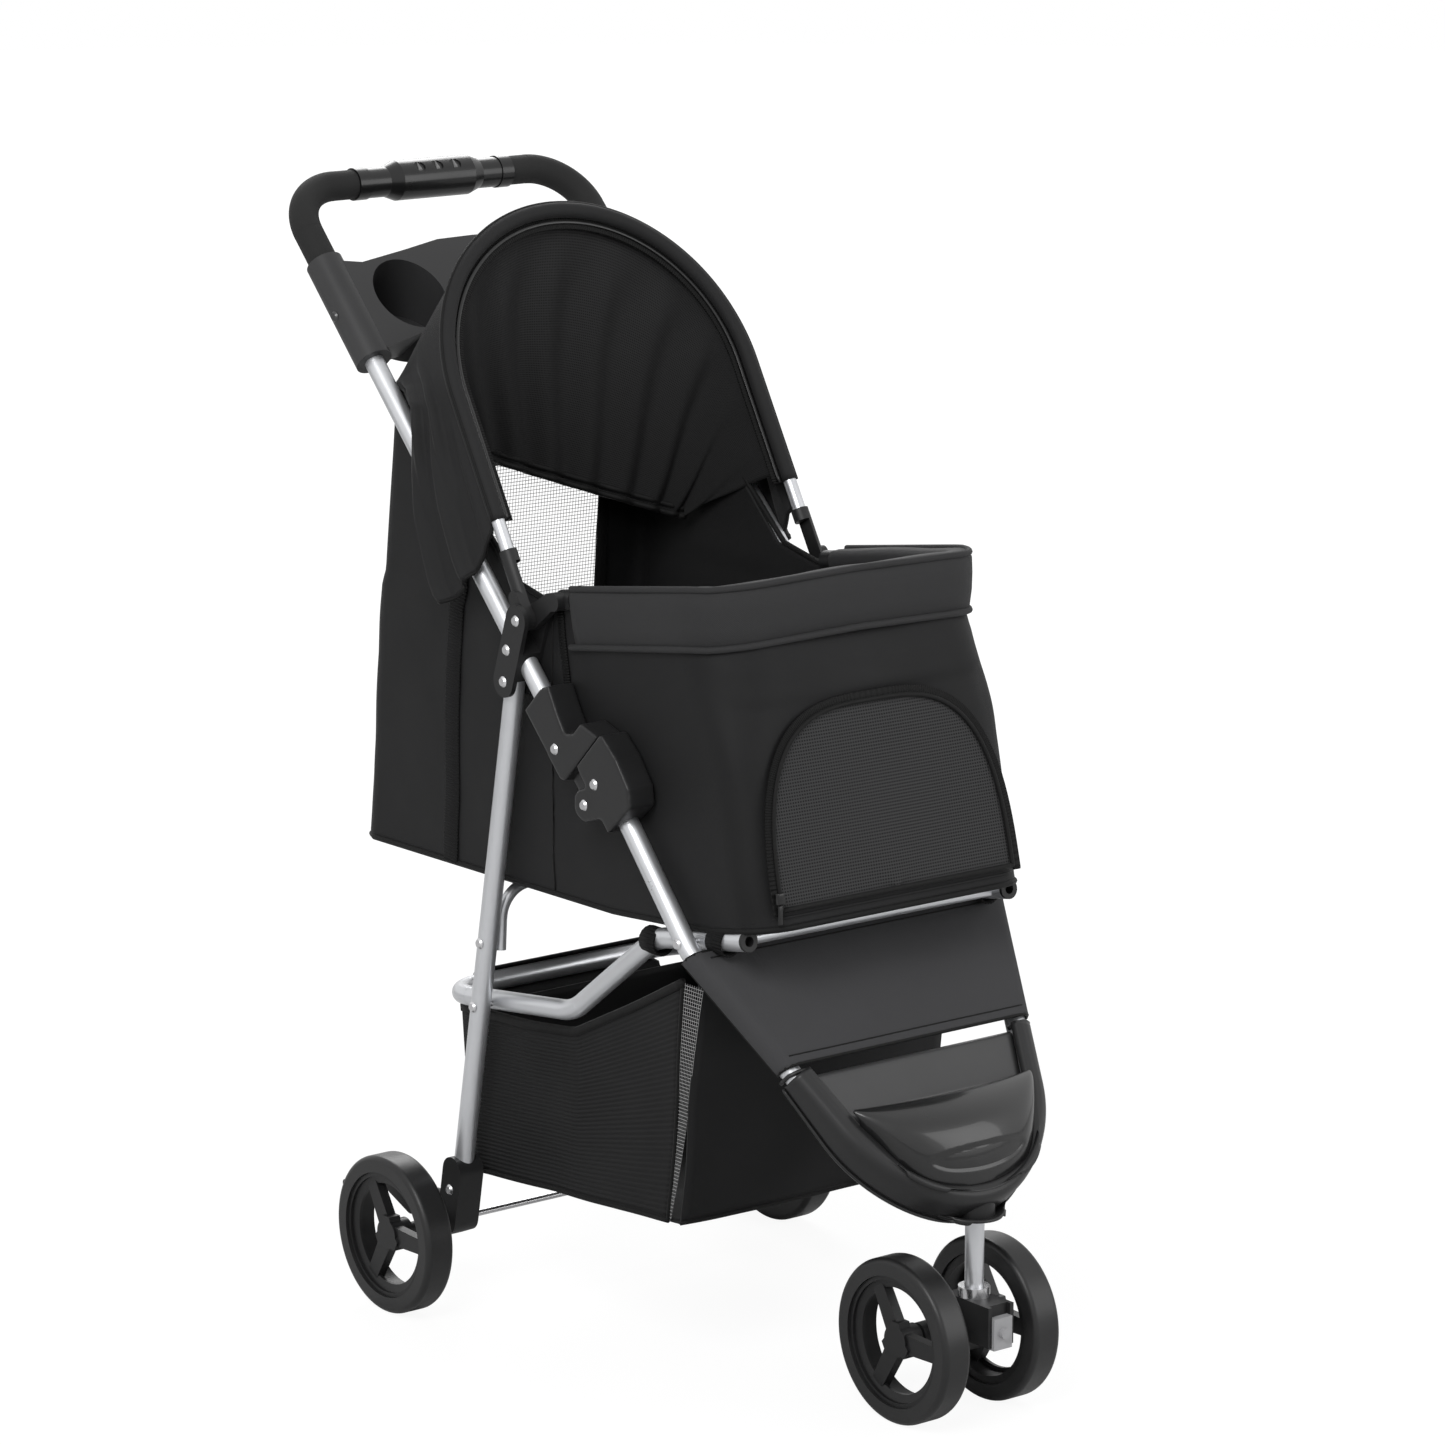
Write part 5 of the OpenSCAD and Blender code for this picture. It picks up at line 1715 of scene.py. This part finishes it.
        for name, shape, long in (
            ("basket_front", front, 0.23), ("basket_floor", floor, 0.31), ("basket_rear", rear, 0.15)
        ):
            panel = new_object(name, sheet_mesh(30, 24, shape, (0.28, long)), "cabin cloth")
            hang_cloth(panel, 0.002, self.body)
            if name == "basket_front":
                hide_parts("basket")
        top = line_on(front, 30, 1.0)
        settle(cord_piece("basket_front_bead", top, 0.0026, "piping"), self.body)
        low = line_on(front, 30, 0.0)
        settle(cord_piece("basket_front_foot", low, 0.0022, "piping"), self.body)

    def build_flap(self) -> None:
        """Builds the flap that wraps the cradle's rear loop."""

        def place(u: float, v: float) -> Vector:
            """Places one point of the flap.

            Args:
                u: place across, from 0 to 1.
                v: place along, from 0 to 1.

            Returns:
                The point in metres.
            """
            x = lerp(-100.0, 100.0, u)
            r = 11.6
            if v < 0.42:
                k = v / 0.42
                return at(x, lerp(6.0, 28.0, smooth(k)), lerp(240.0 + 4.0 * math.sin(u * 19.0), 266.5, k))
            a = math.pi * (v - 0.42) / 0.58
            return at(x, 34.5 + r * math.sin(a), 277.8 - r * math.cos(a))

        def skirt(u: float, v: float) -> Vector:
            """Places one point of the skirt that hangs behind the loop."""
            x = lerp(-104.0, 104.0, u)
            return at(x, 46.8 + 3.0 * math.sin(u * 14.0) * v, lerp(281.0, 243.0 + 5.0 * math.sin(u * 9.0), v))

        obj = new_object("basket_flap", sheet_mesh(40, 22, place, (0.20, 0.09)), "cabin cloth")
        hang_cloth(obj, 0.0018, self.body)
        hang = new_object("basket_skirt", sheet_mesh(30, 10, skirt, (0.21, 0.04)), "cabin cloth")
        hang_cloth(hang, 0.0018, self.body)

    def build_straps(self) -> None:
        """Builds the webbing loops from the cradle's tubes to the cabin's floor."""
        for side, tag in SIDES:
            for name, y, z in (("mid", -288.0, 392.0), ("front", -380.0, 410.5)):
                loop = []
                for i in range(16):
                    a = 2 * math.pi * i / 16
                    loop.append(at(side * (144.5 + 11.2 * math.cos(a)), y, z + 11.2 * math.sin(a)))
                strap = strap_piece(
                    "cabin_loop_" + name + "_" + tag, loop,
                    [(-0.0008, -0.010), (0.0008, -0.010), (0.0008, 0.010), (-0.0008, 0.010)], "webbing", True,
                    Vector((0, 1, 0))
                )
                settle(strap, self.body)
                if name == "mid" and side > 0:
                    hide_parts("cabin_straps")

    def build(self) -> None:
        """Builds every piece of the basket."""
        self.build_sides()
        self.build_front()
        self.build_flap()
        self.build_straps()


# ------------------------------------------------------------------ banner


@dataclass
class FrontBanner:
    """Canvas panel across the front legs, wrapped round the tubes and hemmed.

    Attributes:
        first: distance down the legs to the upper edge, in millimetres.
        last: distance down the legs to the lower edge.
        wrap: distance from a tube's middle to the cloth round it.
        turn: how far the cloth turns round a tube, in radians.
        body: body that it rides on.
    """

    first: float = 3.0
    last: float = 121.0
    wrap: float = 11.2
    turn: float = 2.0
    body: str = "front_legs"

    def place(self, u: float, v: float) -> Vector:
        """Gives a point of the panel, which turns round each leg tube at its ends.

        Args:
            u: place across, from 0 to 1.
            v: place along, from 0 to 1.

        Returns:
            The point in metres.
        """
        run = lerp(self.first, self.last, v)
        flat, wrap = leg_half(run), self.wrap
        reach = abs(2.0 * u - 1.0) * (flat + wrap * self.turn)
        side = 1.0 if u > 0.5 else -1.0
        if reach <= flat:
            x, w = reach, wrap
        else:
            a = (reach - flat) / wrap
            x, w = flat + wrap * math.sin(a), wrap * math.cos(a)
        p = in_nose(side * x, run, w)
        slack = math.sin(math.pi * v) * (1.0 - smooth((reach - flat + 40.0) / 30.0))
        return p + Vector((0, -1, 0)) * (ripple(p, 17.0, 0.0022, 8.0) + 0.0012) * slack

    def build(self) -> None:
        """Builds the panel, its hems, its stitch rows and the dark cords of painted shade along them."""
        panel = new_object("front_banner", sheet_mesh(128, 32, self.place, (0.36, 0.12)), "banner canvas")
        hang_cloth(panel, 0.0024, self.body)
        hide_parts("banner")
        loop = [self.place(i / 48.0, 0.0) for i in range(49)]
        loop += [self.place(1.0, i / 24.0) for i in range(1, 25)]
        loop += [self.place(1 - i / 48.0, 1.0) for i in range(1, 49)]
        loop += [self.place(0.0, 1 - i / 24.0) for i in range(1, 24)]
        settle(cord_piece("banner_hem", loop, 0.0016, "piping", True), self.body)
        up = in_nose(0, 0, 1000.0) - in_nose(0, 0, 0)
        for tag, v in (("top", 0.06), ("low", 0.93)):
            path = [self.place(lerp(0.07, 0.93, i / 60.0), v) + up * 0.0013 for i in range(61)]
            settle(
                stitch_row(
                    "banner_stitch_" + tag, path, lambda p: up, 0.0030, 0.0046, 0.0006, "stitch thread"
                ),
                self.body
            )
            # A thin dark cord along each stitch row is painted shade of the seam's groove between the stitches.
            groove_shade = [q - up * 0.0001 for q in path]
            settle(cord_piece("banner_seam_" + tag, groove_shade, 0.0007, "piping"), self.body)


# -------------------------------------------------------------- nose tray


@dataclass
class NoseTray:
    """Moulded nose: flange round the legs, flat back panel and glossy front bowl.

    Attributes:
        top: distance down the legs to the upper edge.
        radius: radius of the tube's nose arc.
        centre: distance down the legs to that arc's centre.
        sweep: angle of the arc on each side of the middle, in degrees.
        body: body that it rides on.
    """

    top: float = 128.5
    radius: float = 110.8
    centre: float = 149.0
    sweep: float = 72.1
    body: str = "front_legs"

    def turn_at(self, a: float) -> Tuple[float, float]:
        """Gives the angle round the arc and the run up the straight leg.

        Args:
            a: place along the U from -1 at the right top to 1 at the left top.

        Returns:
            The angle in degrees and the straight run in millimetres.
        """
        bend = math.radians(self.sweep)
        lean = math.radians(90.0 - self.sweep)
        leg = (self.centre + self.radius * math.cos(bend) - self.top) / math.cos(lean)
        run = abs(a) * (self.radius * bend + leg)
        if run < self.radius * bend:
            return (math.degrees(run / self.radius), 0.0)
        return (self.sweep, run - self.radius * bend)

    def rim(self, a: float, grow: float) -> Pair:
        """Gives a point beside the tube's U, grow outside its middle line.

        Args:
            a: place along the U, from -1 to 1.
            grow: distance outside the tube's middle line.

        Returns:
            The point as a pair, in millimetres.
        """
        angle, leg = self.turn_at(a)
        t, lean = math.radians(angle), math.radians(90.0 - self.sweep)
        x = (self.radius + grow) * math.sin(t) + leg * math.sin(lean)
        v = self.centre + (self.radius + grow) * math.cos(t) - leg * math.cos(lean)
        return (x if a >= 0 else -x, v)

    def outer(self, a: float) -> float:
        """Gives how far the flange stands out beyond the tube's middle line."""
        return 11.0 + 9.5 * math.exp(-((self.turn_at(a)[0] / 32.0) ** 2))

    def inner(self, a: float) -> float:
        """Gives where the flange meets the bowl, from the tube's middle line."""
        return -11.5 + 14.0 * smooth((62.0 - self.turn_at(a)[0]) / 37.0)

    def hull_point(self, u: float, v: float) -> Vector:
        """Gives a point of the underside, from the flange's lip at v = 0 to the stem at v = 1.

        Args:
            u: place across, from 0 to 1.
            v: place along, from 0 to 1.

        Returns:
            The point in metres.
        """
        a = lerp(-1.0, 1.0, u)
        x, run = self.rim(a, self.outer(a) - 0.5)
        bend = math.cos(math.radians(90.0 * a))
        rim = in_nose(x, run, -8.0 - 14.0 * bend)
        foot = at(
            23.0 * math.sin(math.radians(150.0 * a)), STEM_Y - 23.0 * math.cos(math.radians(150.0 * a)), 181.0
        )
        side = in_nose(x * 0.97, run - 6.0 * bend, -26.0 - 8.0 * bend)
        t = v
        return rim * ((1 - t) ** 2) + side * (2 * t * (1 - t)) + foot * (t * t)

    def flange_point(self, u: float, v: float) -> Vector:
        """Gives a point of the flange that rolls over the tube, from its lip to the bowl.

        Args:
            u: place across, from 0 to 1.
            v: place along, from 0 to 1.

        Returns:
            The point in metres.
        """
        a = lerp(-1.0, 1.0, u)
        bend = math.cos(math.radians(90.0 * a))
        out, into = self.outer(a), self.inner(a)
        low = -8.0 - 14.0 * bend
        section = [
            (0.0, -0.5, low), (0.1, 0.0, low * 0.6 + 1.0), (0.22, -0.4, 2.0), (0.32, -1.8, 7.5),
            (0.42, -5.0, 11.4), (0.52, -9.0, 13.2)
        ]
        grow = path_value(
            [(t, out + g) for t, g, _ in section] + [(0.72, into + 8.5), (0.9, into + 2.5), (1.0, into)], v
        )
        w = path_value([(t, h) for t, _, h in section] + [(0.72, 13.6), (0.9, 12.6), (1.0, 8.0)], v)
        x, run = self.rim(a, grow)
        return in_nose(x, run, w)

    def bowl_point(self, u: float, v: float) -> Vector:
        """Gives a point of the front bowl, from its lip down to the flange.

        Args:
            u: place across, from 0 to 1.
            v: place along, from 0 to 1.

        Returns:
            The point in metres.
        """
        a = lerp(-1.0, 1.0, u)
        across = math.sin(math.radians(90.0 * a))
        crest = 1.0 - across * across
        lip_x, lip_v, lip_w = 97.0 * across, 177.0 + 8.0 * crest, 16.0 + 9.0 * crest
        t = math.radians(66.0 * a)
        r = self.radius + self.inner(0.67 * a) + 1.0
        foot_x, foot_v = r * math.sin(t), self.centre + r * math.cos(t)
        x, run = lerp(lip_x, foot_x, v), lerp(lip_v, foot_v, v)
        w = lerp(
            lip_w, 8.0, v * v
        ) + 15.0 * math.sin(math.pi * v) ** 0.8 * math.cos(math.radians(84.0 * a)) ** 0.8
        far = math.hypot(x / 54.0, (run - 244.0 + 0.0022 * x * x) / 9.5)
        w -= 1.8 * smooth((1.0 - far) / 0.16)
        return in_nose(x, run, w)

    def panel_point(self, u: float, v: float) -> Vector:
        """Gives a point of the flat back panel, which drops behind the bowl's lip.

        Args:
            u: place across, from 0 to 1.
            v: place along, from 0 to 1.

        Returns:
            The point in metres.
        """
        run = lerp(self.top, 190.0, v)
        x = lerp(-1.0, 1.0, u) * (leg_half(run) - 10.5)
        w = path_value([(0.0, -8.0), (0.05, 1.5), (0.1, 4.0), (0.75, 3.0), (1.0, -6.0)], v)
        return in_nose(x, run, w)

    def build(self) -> None:
        """Builds the underside, the flange, the back panel, the bowl and its lip."""
        parts = (
            ("nose_hull", 72, 18, self.hull_point, (0.5, 0.12), "nose satin", "matte_black"),
            ("nose_flange", 120, 24, self.flange_point, (0.5, 0.04), "nose satin", "matte_black"),
            # The back panel's grey colour is a painted reflection on black gloss plastic.
            ("nose_back_panel", 32, 20, self.panel_point, (0.21, 0.06), "panel painted reflection", "matte_black"),
            ("nose_bowl", 110, 60, self.bowl_point, (0.30, 0.09), "nose gloss", "gloss_black"),
        )
        for name, across, along, shape, size, finish, slot in parts:
            piece = new_object(name, sheet_mesh(across, along, shape, size), finish)
            solidify(piece, 0.0024, -1.0 if name != "nose_back_panel" else 0.0)
            settle(piece, self.body)
            if name == "nose_hull":
                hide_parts("nose_tray")
        lip = line_on(self.bowl_point, 60, 0.0)
        settle(cord_piece("nose_bowl_lip", lip, 0.0016, "nose gloss"), self.body)
        for side, tag in SIDES:
            ear = even_path(
                [
                    in_nose(side * (leg_half(self.top) + g), self.top - 1.0, w) for g,
                    w in ((11.0, -8.0), (10.5, 4.0), (2.0, 11.0), (-8.0, 10.0), (-11.0, 2.0))
                ],
                0.004
            )
            settle(cord_piece("nose_ear_" + tag, ear, 0.0019, "nose satin"), self.body)


# ------------------------------------------------------------- hard pieces


@dataclass
class HandleTrim:
    """Small pieces of the centre grip: its raised thumb bars.

    Attributes:
        slope: the handle's lean, in degrees.
        run: distance up the handle to the crossbar, in millimetres.
        body: body that it rides on.
    """

    slope: float = 45.2
    run: float = 530.0
    body: str = "handle_frame"

    def on_bar(self, x: float, s: float, n: float) -> Vector:
        """Gives a point beside the crossbar, s up along the handle and n off its front.

        Args:
            x: distance to the side, in millimetres.
            s: distance up the handle.
            n: distance off its front.

        Returns:
            The point in metres.
        """
        a = math.radians(self.slope)
        y = -131.03 + (self.run + s) * math.cos(a) - n * math.sin(a)
        z = 610.91 + (self.run + s) * math.sin(a) + n * math.cos(a)
        return at(x, y, z)

    def build(self) -> None:
        """Builds three pointed thumb bars."""
        for i, x in enumerate((-20.0, 0.0, 20.0)):
            bm = bmesh.new()
            made = bmesh.ops.create_cone(
                bm, cap_ends=True, segments=3, radius1=0.0052, radius2=0.0034, depth=0.0016
            )["verts"]
            bmesh.ops.scale(bm, vec=Vector((0.55, 1.5, 1.0)), verts=made)
            bmesh.ops.bevel(
                bm, geom=bm.edges[:], offset=0.0005, segments=2, affect="EDGES", profile=0.5, material=-1
            )
            for vert in bm.verts:
                co = vert.co.copy()
                vert.co = self.on_bar(x + co.x * 1000.0, co.y * 1000.0, 17.6 + co.z * 1000.0)
            flat_uv(bm)
            settle(new_object("thumb_bar_" + str(i), bm, "thumb pad", False), self.body)


HARD_FINISH: Dict[str, Sequence[str]] = {
    "silver tube": ("handle_tube", "front_leg_tube", "rear_leg_left", "rear_leg_right", "cradle_tube", "cradle_crossbar",
                    "rim_hoop", "canopy_bow", "caster_stem", "arch_brace"),
    "foam": ("handle_foam_left", "handle_foam_right"),
    "grip gloss": ("handle_grip", "grip_collars"),
    "tray plastic": ("cup_tray",),
    "matte plastic": ("joint_plate_left", "joint_plate_right", "fold_joint_upper_left", "fold_joint_upper_right",
                      "fold_joint_lower_left", "fold_joint_lower_right", "rim_sockets", "canopy_sockets", "nose_block",
                      "axle_bracket_left", "axle_bracket_right", "axle_spacers", "tube_plugs", "caster_fork",
                      "brake_lever_left", "brake_lever_right"),
    "hub plastic": ("front_hub_left", "front_hub_right", "rear_hub_left", "rear_hub_right"),
    "tyre": ("front_tyre_left", "front_tyre_right", "rear_tyre_left", "rear_tyre_right"),
    "rivet": (
        "frame_rivets", "fold_pins", "cradle_pins", "rear_axle", "leg_rivets", "fork_screw", "front_axle",
        "caster_collar"
    ),
    "dark screw": ("tray_rivets",),
    "grey plastic": ("swivel_lock",),
}


# How finely the fold joints are remeshed, in metres, and how often they are smoothed
JOINT_VOXEL = 0.0014
JOINT_SMOOTHING = 14


def soften_joints(nodes: Dict[str, bpy.types.Object]) -> None:
    """Replaces the fold joints' plain solids with copies that have rounded edges.

    Args:
        nodes: the CAD nodes' objects by name.
    """
    for name in sorted(n for n in nodes if n.startswith("fold_joint_")):
        bm = bmesh.new()
        bm.from_mesh(nodes[name].data)
        bmesh.ops.remove_doubles(bm, verts=bm.verts, dist=1e-5)
        piece = new_object(name.replace("fold_joint", "moulded_joint"), bm, "nose satin")
        remesh = piece.modifiers.new("even", "REMESH")
        remesh.mode = "VOXEL"
        remesh.voxel_size = JOINT_VOXEL
        remesh.use_smooth_shade = True
        soft = piece.modifiers.new("soft", "SMOOTH")
        soft.factor, soft.iterations = 0.5, JOINT_SMOOTHING
        bpy.context.view_layer.update()
        final = bpy.data.meshes.new_from_object(piece.evaluated_get(bpy.context.evaluated_depsgraph_get()))
        piece.modifiers.clear()
        piece.data = final
        if not piece.data.materials:
            piece.data.materials.append(FINISH.get("nose satin"))
        settle(piece, "handle_frame" if "upper" in name else "front_legs")
        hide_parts(name)


def dress_frame(nodes: Dict[str, bpy.types.Object]) -> None:
    """Gives every carried-over CAD node its procedural finish.

    Args:
        nodes: the CAD nodes' objects by name.
    """
    for finish, names in HARD_FINISH.items():
        for name in names:
            obj = nodes.get(name)
            if obj is None:
                LOG.warning("no node %s", name)
                continue
            for held in obj.material_slots:
                held.material = FINISH.get(finish)


# ------------------------------------------------------------------ studio


# Soft lamps: name, place, the point that they look at, width and power in watts
LAMPS: Tuple[Tuple[str, Point, Point, float, float], ...] = (
    ("key", (-2.6, -1.6, 3.0), (0.0, 0.0, 0.5), 1.8, 78.0),
    ("fill", (1.8, -3.0, 1.6), (0.0, 0.0, 0.5), 2.2, 34.0),
    ("back", (1.4, 2.6, 2.6), (0.0, 0.0, 0.6), 1.8, 50.0),
)


@dataclass
class Studio:
    """Camera, lights and the pale floor.

    Attributes:
        lens: the camera's lens, in millimetres.
        place: where it stands, in metres.
        yaw: the way that it faces, in degrees.
        pitch: how far it looks down, in degrees.
    """

    lens: float = 134.47
    place: Point = (-2.867352, -3.840203 + SHIFT / 1000.0, 1.582528)
    yaw: float = -38.194
    pitch: float = 12.583

    def build_camera(self) -> None:
        """Places the camera at the fitted view."""
        data = bpy.data.cameras.new("view")
        data.lens = self.lens
        data.sensor_width = 36.0
        data.clip_end = 60.0
        cam = bpy.data.objects.new("view", data)
        cam.location = self.place
        cam.rotation_euler = (math.radians(90.0 - self.pitch), 0.0, math.radians(self.yaw))
        bpy.context.scene.collection.objects.link(cam)
        bpy.context.scene.camera = cam

    def lamp(self, name: str, place: Point, aim: Point, size: float, power: float) -> None:
        """Adds one soft area lamp that looks at a point.

        Args:
            name: the lamp's name.
            place: where it stands, in metres.
            aim: the point that it looks at.
            size: width of the lamp, in metres.
            power: its power, in watts.
        """
        data = bpy.data.lights.new(name, "AREA")
        data.shape = "SQUARE"
        data.size = size
        data.energy = power
        obj = bpy.data.objects.new(name, data)
        obj.location = place
        obj.rotation_euler = (Vector(aim) - Vector(place)).to_track_quat("-Z", "Y").to_euler()
        bpy.context.scene.collection.objects.link(obj)

    def build_world(self) -> None:
        """Builds the world: white to the eye and in reflections, softer as light."""
        world = bpy.data.worlds.new("studio")
        bpy.context.scene.world = world
        world.use_nodes = True
        nodes, links = world.node_tree.nodes, world.node_tree.links
        back = nodes["Background"]
        back.inputs["Color"].default_value = (1.0, 1.0, 1.0, 1.0)
        path = nodes.new("ShaderNodeLightPath")
        rays = path.outputs
        mirrored = math_out(world.node_tree, "MAXIMUM", rays["Is Transmission Ray"], rays["Is Glossy Ray"])
        seen = math_out(world.node_tree, "MAXIMUM", rays["Is Camera Ray"], mirrored)
        links.new(range_out(world.node_tree, seen, 0.32, 1.0), back.inputs["Strength"])

    def build_floor(self) -> None:
        """Builds the floor: white to the eye far away and lightly shaded under the wheels."""
        bm = bmesh.new()
        bmesh.ops.create_circle(bm, cap_ends=True, segments=64, radius=12.0)
        mesh = bpy.data.meshes.new("floor")
        bm.to_mesh(mesh)
        bm.free()
        mat = bpy.data.materials.new("floor")
        mat.use_nodes = True
        nodes, links = mat.node_tree.nodes, mat.node_tree.links
        nodes.clear()
        out = nodes.new("ShaderNodeOutputMaterial")
        dull = nodes.new("ShaderNodeBsdfDiffuse")
        dull.inputs["Color"].default_value = (0.82, 0.82, 0.82, 1.0)
        glow = nodes.new("ShaderNodeEmission")
        glow.inputs["Strength"].default_value = 1.1
        mix = nodes.new("ShaderNodeMixShader")
        path = nodes.new("ShaderNodeLightPath")
        place = nodes.new("ShaderNodeTexCoord")
        far = nodes.new("ShaderNodeVectorMath")
        far.operation = "LENGTH"
        links.new(place.outputs["Object"], far.inputs[0])
        fade = range_out(mat.node_tree, far.outputs["Value"], 0.84, 1.0, 0.7, 1.8)
        seen = math_out(mat.node_tree, "MULTIPLY", path.outputs["Is Camera Ray"], fade)
        links.new(seen, mix.inputs[0])
        links.new(dull.outputs[0], mix.inputs[1])
        links.new(glow.outputs[0], mix.inputs[2])
        links.new(mix.outputs[0], out.inputs["Surface"])
        mesh.materials.append(mat)
        obj = bpy.data.objects.new("floor", mesh)
        bpy.context.scene.collection.objects.link(obj)

    def build(self) -> None:
        """Builds the whole studio."""
        self.build_camera()
        self.build_world()
        self.build_floor()
        for name, place, aim, size, power in LAMPS:
            self.lamp(name, place, aim, size, power)
        bpy.context.scene.view_settings.view_transform = "Standard"


def main() -> None:
    """Builds the studio and dresses the stroller."""
    logging.basicConfig(level=logging.INFO)
    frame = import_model()
    Studio().build()
    FINISH.build()
    dress_frame(frame["nodes"])
    soften_joints(frame["nodes"])
    CabinCloth().build()
    HoodCloth().build()
    BasketCloth().build()
    FrontBanner().build()
    NoseTray().build()
    HandleTrim().build()


if __name__ == "__main__":
    main()
